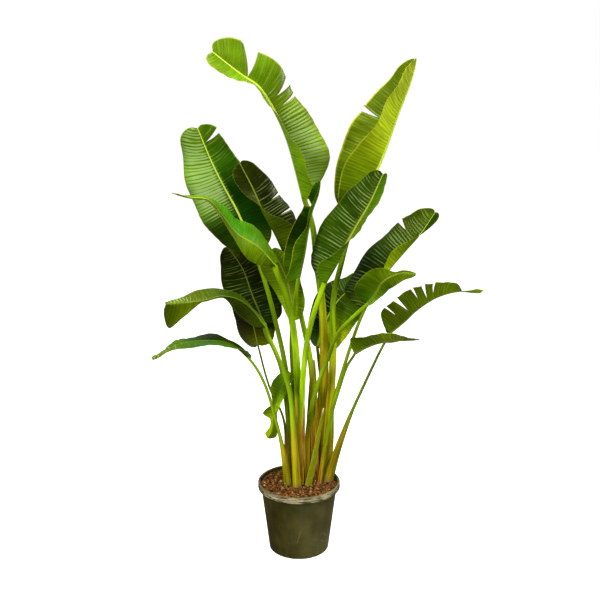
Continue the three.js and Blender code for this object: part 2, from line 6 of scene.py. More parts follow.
import bpy
import numpy as np
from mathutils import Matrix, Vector


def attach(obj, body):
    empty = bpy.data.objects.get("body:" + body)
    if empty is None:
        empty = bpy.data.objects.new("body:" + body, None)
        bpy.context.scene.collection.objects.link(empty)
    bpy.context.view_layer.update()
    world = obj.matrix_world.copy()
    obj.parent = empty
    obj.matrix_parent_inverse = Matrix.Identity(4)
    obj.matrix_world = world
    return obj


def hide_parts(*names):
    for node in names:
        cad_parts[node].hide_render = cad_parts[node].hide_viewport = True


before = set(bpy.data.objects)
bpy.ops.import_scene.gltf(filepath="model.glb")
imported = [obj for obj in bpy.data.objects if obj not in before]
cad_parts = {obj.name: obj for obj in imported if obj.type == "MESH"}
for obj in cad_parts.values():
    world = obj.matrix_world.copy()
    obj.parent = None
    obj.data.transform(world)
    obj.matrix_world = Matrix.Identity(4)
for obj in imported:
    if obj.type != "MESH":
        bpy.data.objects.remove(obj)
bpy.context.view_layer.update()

# The plant and its pot are worked out in millimetres, as the solids are, and new_mesh() turns
# them into metres. The camera, the floor, the lamps and the lengths that a finish reads are in
# metres.

MM = 0.001
RANDOM = random.Random(11)

# ---- Camera: a little above the middle of the plant, looking slightly down ----

CAMERA_PLACE = (0.004, -2.87, 1.59)
CAMERA_PITCH = 12
CAMERA_LENS = 47.94
FILM_WIDTH = 36

# ---- The leaves ----
# stalk: points from the soil up to the blade's base; the rib goes on from there to the tip.
# face: the way the blade's upper surface looks, once or from base to tip.
# petiole: half width of the stalk at the blade. sheath: half width and half thickness at the
# soil, and the share of the stalk that it takes.
# Each half: its width, its fold up from flat (degrees) and the further turn from the rib out
# to the margin, each as values evenly spaced from base to tip.
# tears: side, place along the rib, start as a fraction of the half's width, opening.

LEAVES = {
    "leaf_top_arch": {
        "stalk": [
            [83, 86, 257], [87, 82, 485], [96, 70, 730],
            [85, 50, 970], [65, 35, 1115], [50, 20, 1250],
        ],
        "rib": [
            [20, 5, 1355], [-40, -50, 1565], [-90, -70, 1670],
            [-135, -90, 1735], [-195, -110, 1775], [-285, -145, 1843],
        ],
        "petiole": 9.5, "sheath": [24, 10, 0.75], "face": [[0.25, -0.9, 0.3]],
        "left": {
            "width": [66, 87, 106, 110, 98, 75, 72],
            "fold": [100, 88, 70, 60, 25], "curl": [15, 0, -10],
        },
        "right": {
            "width": [70, 124, 120, 107, 109, 102, 72],
            "fold": [-30, 15, 15, 0, -25], "curl": [10, -25, -55, -10, 5],
        },
        "tears": [["right", 0.53, 0.3, 12], ["right", 0.585, 0.3, 30], ["right", 0.765, 0.05, 60]],
    },
    "leaf_top_right": {
        "stalk": [[104, 60, 257], [117, 56, 490], [130, 60, 770], [130, 79, 965], [165, 85, 1130]],
        "rib": [
            [195, 90, 1270], [240, 95, 1365], [295, 105, 1475],
            [360, 120, 1650], [405, 130, 1765], [425, 135, 1840],
        ],
        "petiole": 9, "sheath": [20, 11, 0.65], "face": [[-1, -0.1, 0.3]],
        "left": {
            "width": [60, 122, 150, 155, 128, 86, 41],
            "fold": [60, 65, 55, 40, 50], "curl": [-30, 20, 0],
        },
        "right": {
            "width": [60, 97, 128, 127, 108, 72, 38],
            "fold": [80, 80, 50, 45, 40], "curl": [20, -15, -5],
        },
        "tears": [["left", 0.61, 0.5, 22]],
    },
    "leaf_big_left": {
        "stalk": [[-35, 40, 257], [-35, 45, 500], [-50, 55, 695], [-85, 75, 865], [-130, 95, 1035]],
        "rib": [
            [-170, 110, 1145], [-225, 110, 1285], [-285, 110, 1400],
            [-325, 110, 1485], [-370, 105, 1600],
        ],
        "petiole": 8, "sheath": [14, 9, 0.4], "face": [[-0.2, -0.95, 0.3]],
        "left": {
            "width": [55, 104, 132, 140, 133, 104, 78],
            "fold": [-20, 5, -5, -15, -20], "curl": [-20, -20, -20],
        },
        "right": {
            "width": [67, 93, 118, 112, 88, 75, 45], "fold": [10, 5, 5, 5, 5], "curl": [0, 10, 10],
        },
        "tears": [["right", 0.88, 0.15, 20]],
    },
    "leaf_whip": {
        "stalk": [[0, 35, 257], [0, 25, 465], [-5, 5, 670], [-20, -35, 875], [-45, -65, 1010]],
        "rib": [
            [-80, -95, 1125], [-140, -120, 1195], [-210, -150, 1245], [-260, -180, 1315],
            [-300, -205, 1365], [-360, -225, 1375], [-415, -240, 1390],
        ],
        "petiole": 11, "sheath": [18, 9, 0.45], "face": [[0.3, -0.3, 0.9]],
        "left": {
            "width": [15, 52, 68, 46, 16, 4, 3],
            "fold": [-60, -35, 0, 0, 0], "curl": [-20, 10, -20],
        },
        "right": {
            "width": [50, 67, 79, 64, 30, 4, 3],
            "fold": [-15, 25, 35, 20, -5], "curl": [25, -50, -5],
        },
        "tears": [],
    },
    "leaf_dark_left": {
        "stalk": [[62, 44, 257], [57, 44, 540], [43, 36, 740], [13, 36, 890], [-15, 40, 1020]],
        "rib": [
            [-45, 35, 1135], [-85, 40, 1220], [-130, 45, 1300], [-170, 50, 1390], [-215, 60, 1475],
        ],
        "petiole": 8, "sheath": [16, 9, 0.6], "face": [[0.2, -0.9, 0.2]],
        "left": {
            "width": [60, 80, 70, 25, 48, 50, 25],
            "fold": [150, 150, 90, 20, 0], "curl": [0, 0, 0, 10, 0],
        },
        "right": {
            "width": [69, 92, 109, 106, 89, 57, 29],
            "fold": [5, -10, -10, -15, 10], "curl": [-5, -30, 0],
        },
        "tears": [["right", 0.38, 0.5, 8], ["right", 0.55, 0.5, 9]],
    },
    "leaf_folded": {
        "stalk": [[12, 78, 257], [0, 60, 490], [-12, 30, 700], [-22, -8, 880], [-15, -20, 980]],
        "rib": [
            [-5, -34, 1070], [15, -58, 1160], [30, -70, 1245],
            [45, -80, 1315], [65, -88, 1370], [75, -94, 1420],
        ],
        "petiole": 7, "sheath": [13, 8, 0.4], "face": [[-0.9, -0.4, 0.1]],
        "left": {
            "width": [44, 62, 66, 52, 34, 28, 18], "fold": [60, 55, 55, 55, 50], "curl": [0, 0, 0],
        },
        "right": {
            "width": [70, 95, 62, 14, 10, 8, 6], "fold": [55, 55, 85, 95, 80], "curl": [0, 0, 0],
        },
        "tears": [["left", 0.74, 0.05, 34]],
    },
    "leaf_mid_right": {
        "stalk": [[16, 8, 257], [10, 0, 475], [15, -15, 680], [30, -35, 835], [55, -55, 945]],
        "rib": [
            [90, -75, 1060], [130, -85, 1130], [160, -90, 1190],
            [200, -95, 1265], [245, -100, 1345], [290, -95, 1445],
        ],
        "petiole": 9, "sheath": [14, 9, 0.4], "face": [[-0.3, -0.9, 0.2]],
        "left": {
            "width": [88, 115, 128, 118, 100, 68, 40],
            "fold": [-20, -10, -10, -5, 5], "curl": [-30, -15, -20],
        },
        "right": {
            "width": [40, 62, 34, 58, 86, 76, 45],
            "fold": [140, 140, 95, 65, 62, 60, 50], "curl": [0],
        },
        "tears": [],
    },
    "leaf_low_right": {
        "stalk": [
            [99, 31, 257], [120, 28, 423], [130, 26, 565], [150, 24, 646],
            [173, 24, 728], [195, 24, 802], [224, 28, 890],
        ],
        "rib": [[245, 35, 940], [330, 55, 1078], [388, 65, 1146], [450, 75, 1215], [505, 85, 1295]],
        "petiole": 6, "sheath": [24, 7, 0.4], "face": [[-0.3, -0.85, 0.4]],
        "left": {
            "width": [88, 117, 139, 135, 113, 72, 36],
            "fold": [20, 0, -5, -5, 20], "curl": [-25, -35, 15],
        },
        "right": {
            "width": [10, 12, 20, 48, 32, 48, 30],
            "fold": [125, 125, 125, 75, 25], "curl": [0, 0, 0, 0, -10],
        },
        "tears": [["left", 0.71, 0.55, 20]],
    },
    "leaf_right_curl": {
        "stalk": [
            [29, 45, 257], [37, 36, 481], [54, 20, 585], [76, 4, 670],
            [108, -12, 762], [139, -42, 858], [185, -58, 918],
        ],
        "rib": [
            [244, -75, 981], [264, -85, 1009], [278, -95, 1036], [294, -105, 1067],
            [323, -115, 1089], [359, -130, 1104], [405, -150, 1104],
        ],
        "petiole": 7, "sheath": [13, 9, 0.35], "face": [[-0.2, -0.9, 0.4]],
        "left": {
            "width": [40, 70, 72, 45, 8, 6, 5], "fold": [15, 15, 10, 0, 0], "curl": [20, 20, 0],
        },
        "right": {
            "width": [8, 14, 28, 34, 30, 20, 9], "fold": [-10, -10, -20, -20, -10], "curl": [0],
        },
        "tears": [],
    },
    "leaf_far_right": {
        "stalk": [[111, 6, 257], [142, 20, 365], [196, 40, 515], [250, 60, 635], [310, 85, 760]],
        "rib": [
            [345, 100, 830], [405, 115, 875], [450, 125, 915],
            [525, 140, 960], [610, 160, 980], [715, 180, 975],
        ],
        "petiole": 5, "sheath": [20, 8, 0.5], "face": [[-0.35, 0.1, 1]],
        "left": {
            "width": [60, 85, 95, 80, 45, 9, 14], "fold": [10, 0, -5, -10, -45], "curl": [0, 0, 0],
        },
        "right": {
            "width": [50, 86, 104, 106, 100, 86, 66, 52, 5, 17, 15],
            "fold": [85, 65, 65, 45, 35], "curl": [20, -20, -30],
        },
        "tears": [
            ["right", 0.155, 0.45, 9], ["right", 0.265, 0.25, 18], ["right", 0.39, 0.4, 10],
            ["right", 0.46, 0.2, 16], ["right", 0.52, 0.3, 12],
        ],
    },
    "leaf_right_level": {
        "stalk": [[80, -6, 257], [99, -8, 417], [123, -10, 538], [152, -18, 648], [174, -30, 725]],
        "rib": [
            [200, -95, 805], [235, -110, 830], [275, -125, 850],
            [330, -145, 865], [375, -160, 870], [420, -175, 875],
        ],
        "petiole": 5, "sheath": [9, 6, 0.3], "face": [[0, 0.1, 1]],
        "left": {
            "width": [45, 61, 74, 74, 64, 44, 25], "fold": [20, 0, -10, -10, 0], "curl": [0, 0, 0],
        },
        "right": {
            "width": [42, 57, 69, 69, 60, 41, 23],
            "fold": [90, 40, 35, 30, 15], "curl": [30, -10, 10],
        },
        "tears": [],
    },
    "leaf_left_fold": {
        "stalk": [
            [-7, -35, 257], [-20, -45, 490], [-35, -60, 655], [-80, -85, 795], [-110, -105, 875],
        ],
        "rib": [
            [-117, -115, 906], [-172, -130, 982], [-222, -145, 1018], [-274, -155, 1027],
            [-325, -165, 1015], [-375, -175, 1010], [-420, -180, 1008], [-460, -185, 1005],
        ],
        "petiole": 8, "sheath": [17, 8, 0.45], "face": [[0.3, -0.2, 1], [0, -0.1, 1]],
        "left": {
            "width": [12, 32, 42, 44, 30, 5, 4, 8, 44, 90, 66],
            "fold": [-60, -60, -70, -80, -80], "curl": [-10, -10, -10],
        },
        "right": {
            "width": [12, 14, 14, 14, 20, 30, 42, 42, 32, 18, 10],
            "fold": [10, 20, 35, 35, 30], "curl": [0, 0, 0],
        },
        "tears": [],
    },
    "leaf_left_low": {
        "stalk": [
            [-40, -25, 257], [-64, -40, 430], [-93, -60, 565], [-121, -85, 675], [-155, -115, 760],
        ],
        "rib": [
            [-180, -135, 805], [-215, -160, 845], [-255, -185, 870],
            [-330, -220, 885], [-410, -255, 880], [-495, -285, 840],
        ],
        "petiole": 5, "sheath": [17, 8, 0.4], "face": [[0, -0.1, 1]],
        "left": {
            "width": [35, 60, 79, 77, 60, 34, 15], "fold": [0, 0, -5, 0, 0], "curl": [0, 20, 0],
        },
        "right": {
            "width": [47, 63, 72, 70, 46, 24, 12], "fold": [14, 10, 5, 0, 0], "curl": [0, -20, 0],
        },
        "tears": [],
    },
    "leaf_back_left": {
        "stalk": [[-32, 105, 257], [-45, 115, 470], [-70, 135, 670], [-100, 150, 760]],
        "rib": [
            [-135, 165, 850], [-160, 170, 910], [-185, 180, 970],
            [-215, 190, 1055], [-245, 195, 1105], [-280, 200, 1150],
        ],
        "petiole": 6, "sheath": [12, 8, 0.4], "face": [[-0.2, -0.9, 0.2]],
        "left": {
            "width": [72, 96, 114, 111, 93, 60, 30],
            "fold": [-30, -15, -10, 0, 0], "curl": [-30, -10, -10],
        },
        "right": {
            "width": [69, 92, 109, 106, 89, 57, 29], "fold": [10, 10, 10, 10, 0], "curl": [0, 0, 0],
        },
        "tears": [],
    },
    "leaf_back_low": {
        "stalk": [[-51, 70, 257], [-60, 85, 485], [-115, 130, 600]],
        "rib": [[-165, 225, 745], [-180, 240, 810], [-195, 250, 885], [-205, 255, 965]],
        "petiole": 4, "sheath": [11, 7, 0.35], "face": [[-0.1, -0.9, -0.3]],
        "left": {
            "width": [60, 80, 94, 92, 77, 49, 25],
            "fold": [-35, -20, -15, 0, 5], "curl": [-30, -20, 0],
        },
        "right": {
            "width": [57, 76, 89, 87, 73, 47, 23], "fold": [10, 5, 5, 5, 0], "curl": [0, 0, 0],
        },
        "tears": [],
    },
    "leaf_back_centre": {
        "stalk": [[-18, 72, 257], [-20, 70, 490], [-26, 60, 690], [-30, 45, 795]],
        "rib": [[-25, 22, 900], [-25, 15, 970], [-40, 12, 1045], [-70, 12, 1115], [-100, 12, 1165]],
        "petiole": 6, "sheath": [12, 8, 0.4], "face": [[0.3, 0.9, 0.2]],
        "left": {
            "width": [25, 39, 48, 50, 51, 39, 25], "fold": [8, 5, 0, -5, 0], "curl": [5, -10, 5],
        },
        "right": {
            "width": [25, 36, 55, 75, 80, 67, 43],
            "fold": [10, 5, 0, 0, -20], "curl": [20, 10, -20],
        },
        "tears": [],
    },
    "leaf_back_right": {
        "stalk": [[58, 112, 257], [76, 117, 430], [88, 124, 595]],
        "rib": [
            [70, 130, 765], [105, 140, 870], [150, 150, 945], [190, 155, 985], [245, 165, 1040],
        ],
        "petiole": 6, "sheath": [12, 8, 0.4], "face": [[-0.3, -0.9, 0.3]],
        "left": {
            "width": [59, 86, 104, 105, 92, 52, 28],
            "fold": [-30, -20, -15, -20, -10], "curl": [-40, -20, -15],
        },
        "right": {
            "width": [62, 86, 108, 115, 108, 86, 62],
            "fold": [10, 10, 10, 10, 0], "curl": [0, 0, 0],
        },
        "tears": [],
    },
    "leaf_small_low": {
        "stalk": [[-31, 5, 257], [-41, 2, 435], [-46, -10, 600], [-38, -18, 690]],
        "rib": [
            [-29, -22, 707], [-55, -28, 674], [-78, -26, 626], [-91, -30, 576],
            [-95, -32, 530], [-101, -32, 482], [-116, -30, 453],
        ],
        "petiole": 4, "sheath": [9, 6, 0.5], "face": [[-0.3, -0.9, 0.2]],
        "left": {
            "width": [12, 20, 24, 26, 22, 18, 14, 16, 18, 20, 8],
            "fold": [10, 0, 0], "curl": [0, 0, 20, 20, 40],
        },
        "right": {
            "width": [20, 28, 38, 38, 20, 12, 42, 12, 10, 24, 12],
            "fold": [-10, 0, 10], "curl": [0, 0, 40, 40, 60],
        },
        "tears": [],
    },
}

# ---- The leaves' colours ----
# Lightness runs from 0, black, to 1, and is how light a part looks: partly its own tone and partly
# painted shade where it lies in shade. left and right: that of each half's upper face, from base
# to tip; under: that of the underside. olive and under_olive: how yellow the green is, from 0
# to 1, and olive_right: that of the right half where it differs. painted_sheen_left and
# painted_sheen_right: the painted sheen, a pale painted highlight, on each half that has any, from
# 0.2, thin lines on the crests between the veins, to 1, nearly all over. rib and stalk: their
# lightness. dry: how brown the sheath is. edge: how yellow the margins are.

# A half with no painted sheen.
NO_PAINTED_SHEEN = [0]

LOOKS = {
    "leaf_top_arch": {
        "left": [0.35, 0.55, 0.62, 0.65, 0.6], "right": [0.8, 0.72, 0.57, 0.54, 0.53],
        "under": [0.65, 0.78], "under_olive": [0.5, 0.55, 0.7],
        "olive": [0.55, 0.6, 0.6, 0.5, 0.55],
        "painted_sheen_right": [0.6, 0.9, 0.5, 0, 0],
        "rib": 0.9, "stalk": 0.72, "dry": 0.5, "edge": 0.4,
    },
    "leaf_top_right": {
        "left": [0.38, 0.55, 0.49, 0.41, 0.42], "right": [0.4],
        "under": [0.28, 0.56, 0.84, 0.78, 0.7], "under_olive": [0.45, 0.63, 0.75, 0.77, 0.83],
        "olive": [0.35, 0.6, 0.65, 0.6, 0.6],
        "painted_sheen_left": [0, 0.2, 0.2, 0.1, 0],
        "rib": 1, "stalk": 0.7, "dry": 0.2, "edge": 0.9,
    },
    "leaf_big_left": {
        "left": [0.38, 0.24, 0.58, 0.64, 0.52], "right": [0.46, 0.26, 0.25, 0.43, 0.48],
        "under": [0.35], "under_olive": [0.5],
        "olive": [0.4, 0.3, 0.45, 0.45, 0.5], "olive_right": [0.5, 0.05, 0.12, 0.32, 0.45],
        "painted_sheen_left": [0, 0.05, 1, 1, 0.7], "painted_sheen_right": [0, 0, 0.05, 0.25, 0.1],
        "rib": 0.85, "stalk": 0.58, "dry": 0.3, "edge": 0.3,
    },
    "leaf_whip": {
        "left": [0.32, 0.62, 0.42, 0.42, 0.64], "right": [0.52, 0.6, 0.67, 0.66, 0.68],
        "under": [0.45], "under_olive": [0.6],
        "olive": [0.55, 0.58, 0.56, 0.58, 0.65], "olive_right": [0.5, 0.3, 0.22, 0.45, 0.7],
        "rib": 0.62, "stalk": 0.8, "dry": 0.9, "edge": 0.4,
    },
    "leaf_dark_left": {
        "left": [0.4, 0.38, 0.46, 0.2, 0.22], "right": [0.2, 0.17, 0.17, 0.17, 0.24],
        "under": [0.26, 0.44, 0.58], "under_olive": [0.6],
        "olive": [0.6, 0.7, 0.75, 0.7, 0.55],
        "painted_sheen_right": [0, 0.25, 0.4, 0.3, 0],
        "rib": 0.52, "stalk": 0.68, "dry": 0.7, "edge": 0.1,
    },
    "leaf_folded": {
        "left": [0.54, 0.32, 0.19, 0.27, 0.42], "right": [0.4, 0.3, 0.2],
        "under": [0.72, 0.52, 0.37, 0.38, 0.31], "under_olive": [0.42, 0.4, 0.35, 0.42],
        "olive": [0.42, 0.4, 0.2, 0.15, 0.25],
        "rib": 0.6, "stalk": 0.72, "dry": 0.5, "edge": 0.5,
    },
    "leaf_mid_right": {
        "left": [0.38, 0.32, 0.31, 0.27, 0.22], "right": [0.4, 0.4, 0.48, 0.43, 0.38],
        "under": [0.52], "under_olive": [0.45],
        "olive": [0.5, 0.4, 0.4, 0.37, 0.32], "olive_right": [0.5, 0.5, 0.6, 0.45, 0.35],
        "painted_sheen_left": [0.45, 0.35, 0.35, 0.4, 0.3], "painted_sheen_right": [0, 0, 0.05],
        "rib": 0.62, "stalk": 0.8, "dry": 0.7, "edge": 0.15,
    },
    "leaf_low_right": {
        "left": [0.28, 0.18, 0.27, 0.36, 0.44], "right": [0.25, 0.25, 0.24],
        "under": [0.55, 0.8, 0.55, 0.66], "under_olive": [0.7, 0.75, 0.66, 0.72],
        "olive": [0.5, 0.2, 0.42, 0.62, 0.6], "olive_right": [0.3],
        "painted_sheen_left": [0.25, 0.25, 0.45, 0.6, 0.3],
        "rib": 0.78, "stalk": 0.6, "dry": 0.2, "edge": 0.2,
    },
    "leaf_right_curl": {
        "left": [0.4, 0.52, 0.52, 0.55, 0.36], "right": [0.64, 0.6, 0.46, 0.52, 0.5],
        "under": [0.4], "under_olive": [0.6],
        "olive": [0.31, 0.47, 0.57, 0.6, 0.55],
        "rib": 0.5, "stalk": 0.65, "dry": 0.4, "edge": 0.2,
    },
    "leaf_far_right": {
        "left": [0.35], "right": [0.35],
        "under": [0.38, 0.45, 0.54, 0.66, 0.85], "under_olive": [0.62],
        "olive": [0.5],
        "rib": 0.5, "stalk": 0.45, "dry": 0.2, "edge": 0.1,
    },
    "leaf_right_level": {
        "left": [0.35], "right": [0.4],
        "under": [0.42, 0.45, 0.6, 0.66, 0.6], "under_olive": [0.62, 0.62, 0.8, 0.7],
        "olive": [0.5],
        "rib": 0.5, "stalk": 0.6, "dry": 0.6, "edge": 0.1,
    },
    "leaf_left_fold": {
        "left": [0.34, 0.19, 0.24, 0.52, 0.28], "right": [0.58, 0.46, 0.32, 0.47, 0.46],
        "under": [0.35], "under_olive": [0.5],
        "olive": [0.5, 0.52, 0.47, 0.68, 0.65],
        "painted_sheen_right": [0, 0, 0, 0.25, 0.6],
        "rib": 0.5, "stalk": 0.7, "dry": 0.4, "edge": 0.3,
    },
    "leaf_left_low": {
        "left": [0.36, 0.39, 0.45, 0.47, 0.44], "right": [0.2, 0.25, 0.25, 0.46, 0.48],
        "under": [0.6], "under_olive": [0.6],
        "olive": [0.65, 0.42, 0.28, 0.45, 0.7],
        "painted_sheen_left": [0, 0, 0, 0.1, 0.6], "painted_sheen_right": [0, 0, 0, 0.15, 0.7],
        "rib": 0.47, "stalk": 0.65, "dry": 0.4, "edge": 0.2,
    },
    "leaf_back_left": {
        "left": [0.08, 0.16, 0.23, 0.2, 0.1], "right": [0.3, 0.14, 0.13, 0.17, 0.5],
        "under": [0.2], "under_olive": [0.6],
        "olive": [0.5, 0.38, 0.48, 0.6, 0.6],
        "painted_sheen_left": [0, 0.15, 0.2, 0.15, 0.1], "painted_sheen_right": [0.1, 0.2, 0.15, 0.1, 0],
        "rib": 0.4, "stalk": 0.45, "dry": 0.5, "edge": 0.1,
    },
    "leaf_back_low": {
        "left": [0.48, 0.28, 0.1, 0.04, 0.02], "right": [0.42, 0.14, 0.26],
        "under": [0.2], "under_olive": [0.8],
        "olive": [0.75, 0.9, 0.7, 0.6],
        "rib": 0.5, "stalk": 0.36, "dry": 0.9, "edge": 0.1,
    },
    "leaf_back_centre": {
        "left": [0.3], "right": [0.3],
        "under": [0.72, 0.66, 0.47, 0.46, 0.56], "under_olive": [0.65, 0.62, 0.58, 0.55, 0.6],
        "olive": [0.5],
        "rib": 0.6, "stalk": 0.52, "dry": 0.5, "edge": 0.2,
    },
    "leaf_back_right": {
        "left": [0.46, 0.15, 0.18, 0.3, 0.4], "right": [0.66, 0.9, 0.46, 0.36, 0.34],
        "under": [0.3], "under_olive": [0.6],
        "olive": [0.42, 0.28, 0.5, 0.35, 0.48], "olive_right": [0.78, 0.8, 0.5, 0.4, 0.4],
        "painted_sheen_left": [0, 0.2, 0.4, 0.3, 0], "painted_sheen_right": [0, 0, 0.2, 0.2],
        "rib": 0.8, "stalk": 0.48, "dry": 0.5, "edge": 0.2,
    },
    "leaf_small_low": {
        "left": [0.35, 0.48, 0.9, 0.6, 0.33], "right": [0.52, 0.43, 0.52, 0.9, 0.85],
        "under": [0.4, 0.6], "under_olive": [0.6],
        "olive": [0.5, 0.45, 0.6, 0.66, 0.66],
        "rib": 0.42, "stalk": 0.42, "dry": 0.3, "edge": 0.4,
    },
}

# ---- Old sheaths ----
# Each one's foot and tip, its half width and half thickness at the foot, and how green it is,
# from 0, dry, to 1.

OLD_SHEATHS = {
    "old_sheath_front": {"foot": [-46, -48, 257], "tip": [-52, -48, 280], "size": [5, 2.5], "green": 0},
    "old_sheath_pale": {"foot": [58, -14, 257], "tip": [64, -18, 276], "size": [5, 2.5], "green": 0},
    "old_sheath_brown": {"foot": [70, 22, 257], "tip": [56, 20, 335], "size": [12, 3], "green": 0},
    "old_sheath_green": {"foot": [35, -22, 257], "tip": [94, -22, 570], "size": [14, 5], "green": 1},
    "old_sheath_centre": {"foot": [8, -20, 257], "tip": [22, -25, 592], "size": [10, 3], "green": 0.3},
    "old_sheath_left": {"foot": [-12, -8, 257], "tip": [-27, -4, 590], "size": [9, 3], "green": 0.2},
    "old_sheath_back": {"foot": [44, 66, 257], "tip": [56, 58, 735], "size": [33, 4], "green": 0.45},
}


# ---- Shader maths as Python ----

EYE_POWER = 2.2  # turns a lightness as the eye sees it into a reflectance


class Value:
    """A socket that gives a value, so that shader maths is written as an expression."""

    def __init__(self, finish, socket):
        self.finish = finish
        self.socket = socket

    def __add__(self, other):
        return self.finish.maths("ADD", self, other)

    def __sub__(self, other):
        return self.finish.maths("SUBTRACT", self, other)

    def __rsub__(self, other):
        return self.finish.maths("SUBTRACT", other, self)

    def __mul__(self, other):
        return self.finish.maths("MULTIPLY", self, other)

    def __pow__(self, power):
        return self.finish.maths("POWER", self, power)

    __radd__ = __add__
    __rmul__ = __mul__

    def sine(self):
        return self.finish.maths("SINE", self)

    def size(self):
        """The value without its sign."""
        return self.finish.maths("ABSOLUTE", self)

    def step(self, low, high):
        """0 at low and 1 at high, with a soft slope between; low may be the greater."""
        settings = {"interpolation_type": "SMOOTHSTEP"}
        return self.finish.node("MapRange", settings, {"Value": self, 1: low, 2: high})


class Finish:
    """One material. Its constants are set on the shader's own sockets."""

    def __init__(self, name, **constants):
        self.material = bpy.data.materials.new(name)
        self.material.use_nodes = True
        self.tree = self.material.node_tree
        self.shader = self.tree.nodes["Principled BSDF"]
        self.wear(**constants)

    def wear(self, **values):
        """Sets the shader's sockets, or links what varies over the surface. Gives the material."""
        for socket, value in values.items():
            self.feed(self.shader.inputs[socket.replace("_", " ")], value)
        return self.material

    def feed(self, socket, value):
        if isinstance(value, Value):
            self.tree.links.new(value.socket, socket)
        elif socket.type == "RGBA" and len(value) == 3:
            socket.default_value = (*value, 1)
        else:
            socket.default_value = value

    def node(self, kind, settings=None, inputs=None, output=0):
        """A node of any type: its settings first, then the values or links of its sockets."""
        node = self.tree.nodes.new("ShaderNode" + kind)
        for name, value in (settings or {}).items():
            setattr(node, name, value)
        for socket, value in (inputs or {}).items():
            self.feed(node.inputs[socket], value)
        return Value(self, node.outputs[output])

    def maths(self, operation, *values):
        return self.node("Math", {"operation": operation}, dict(enumerate(values)))

    def mix(self, share, first, second):
        """A blend of two colours: inputs 6 and 7 of its node, and output 2."""
        return self.node("Mix", {"data_type": "RGBA"}, {0: share, 6: first, 7: second}, 2)

    def brighten(self, colour, amount):
        """A colour made lighter or darker by a varying amount."""
        return self.node("VectorMath", {"operation": "SCALE"}, {0: colour, "Scale": amount})

    def attribute(self, name):
        return self.node("Attribute", {"attribute_name": name}, output="Fac")

    def reflectance(self, lightness):
        """The reflectance of a surface that looks as light as an attribute says."""
        return self.attribute(lightness) ** EYE_POWER

    def place(self):
        return self.node("TexCoord", output="Object")

    def stretched(self, x, y, z):
        """The place, stretched along each axis."""
        settings = {"operation": "MULTIPLY"}
        return self.node("VectorMath", settings, {0: self.place(), 1: (x, y, z)})

    def point(self, x, y, z):
        return self.node("CombineXYZ", inputs={0: x, 1: y, 2: z})

    def noise(self, where, scale, detail, roughness=0.5):
        inputs = {"Vector": where, "Scale": scale, "Detail": detail, "Roughness": roughness}
        return self.node("TexNoise", inputs=inputs)

    def bump(self, height, distance, strength):
        inputs = {"Height": height, "Distance": distance, "Strength": strength}
        return self.node("Bump", inputs=inputs)


# ---- Leaf finishes ----
# Each blade carries: vein, metres along the rib to where the vein starts; side, from -1 at the
# left margin over 0 at the rib to 1 at the right one; cut, 1 at the edge of a tear; ridge, 1 in
# the middle of the rib and all over the underside; leaf, a number of its own; and from the table
# of colours upper, olive, under, under_olive, painted_sheen (a painted highlight), ribs and edge.

VEIN_SPACING = 0.011  # metres of rib from one strong vein to the next
UPPER_GAIN = 0.65  # the reflectance of an upper face that is given the lightness 1
UNDER_GAIN = 0.9
RIB_GAIN = 0.9
GLOSS_TINT = (0.8, 1.0, 0.1, 1)
FRESH_GREEN = (0.0, 1.0, 0.008)
OLIVE_GREEN = (1.0, 1.0, 0.008)
# Colours of the painted sheen, a painted highlight: on a half in shade and on a lit one.
SHEEN_IN_SHADE = (0.075, 0.085, 0.030)
SHEEN_IN_LIGHT = (0.46, 0.70, 0.20)
RIB_PALE = (0.80, 1.0, 0.10)
MARGIN_YELLOW = (0.40, 0.36, 0.015)
TORN_BROWN = (0.17, 0.12, 0.02)


def leaf_colour(finish, lightness, olive, gain):
    """A green of the given lightness, and as yellow as its olive says."""
    tint = finish.mix(finish.attribute(olive), FRESH_GREEN, OLIVE_GREEN)
    return finish.brighten(tint, finish.reflectance(lightness) * gain)


def leaf_cloud(finish):
    return finish.noise(finish.place(), 7.0, 3.0).step(0.25, 0.75)


def vein_lines(finish):
    """Across the veins: broad streaks, the crests between strong veins, and fine lines."""
    vein = finish.attribute("vein")
    side = finish.attribute("side")
    leaf = finish.attribute("leaf")
    streaks = finish.noise(finish.point(vein * 140, side * 0.9, leaf), 1.0, 3.0, 0.6)
    wander = finish.noise(finish.point(vein * 30, side * 0.7, leaf), 1.0, 2.0)
    phase = vein * (math.pi / VEIN_SPACING) + wander * 5
    fine = finish.noise(finish.point(vein * 620, side * 1.5, leaf), 1.0, 2.0)
    return streaks.step(0.3, 0.7), phase.sine().size(), fine


def with_painted_sheen(finish, green, streaks, crest):
    """A pale painted sheen over the green: on the crests first, and in bands along the blade."""
    painted_sheen = finish.attribute("painted_sheen")
    across = finish.attribute("side").size()
    leaf = finish.attribute("leaf")
    place = finish.point(finish.attribute("vein") * 16, across * 1.2, leaf)
    bands = finish.noise(place, 1.0, 2.0).step(0.35, 0.65)
    # Painted highlight: a pale sheen laid into the colour where the blade's gloss would catch the
    # light.
    cover = painted_sheen * (painted_sheen * 0.3 + 1) * (0.8 + 0.8 * bands)
    sheen_share = cover + 2.4 * (crest ** (2.0 - 1.2 * painted_sheen) - 1) + 0.8 * (streaks - 0.5)
    sheen_share = sheen_share.step(0.0, 0.8) * across.step(1.1, 0.65) * painted_sheen.step(0.0, 0.15)
    pale = finish.mix(finish.attribute("upper"), SHEEN_IN_SHADE, SHEEN_IN_LIGHT)
    return finish.mix(sheen_share * 0.8, green, pale)


def with_margins(finish, colour):
    """The yellow margin, and brown along the tears."""
    across = finish.attribute("side").size()
    edge = finish.attribute("edge")
    colour = finish.mix(across.step(0.95, 0.99) * edge, colour, MARGIN_YELLOW)
    return finish.mix(finish.attribute("cut") * 0.5, colour, TORN_BROWN)


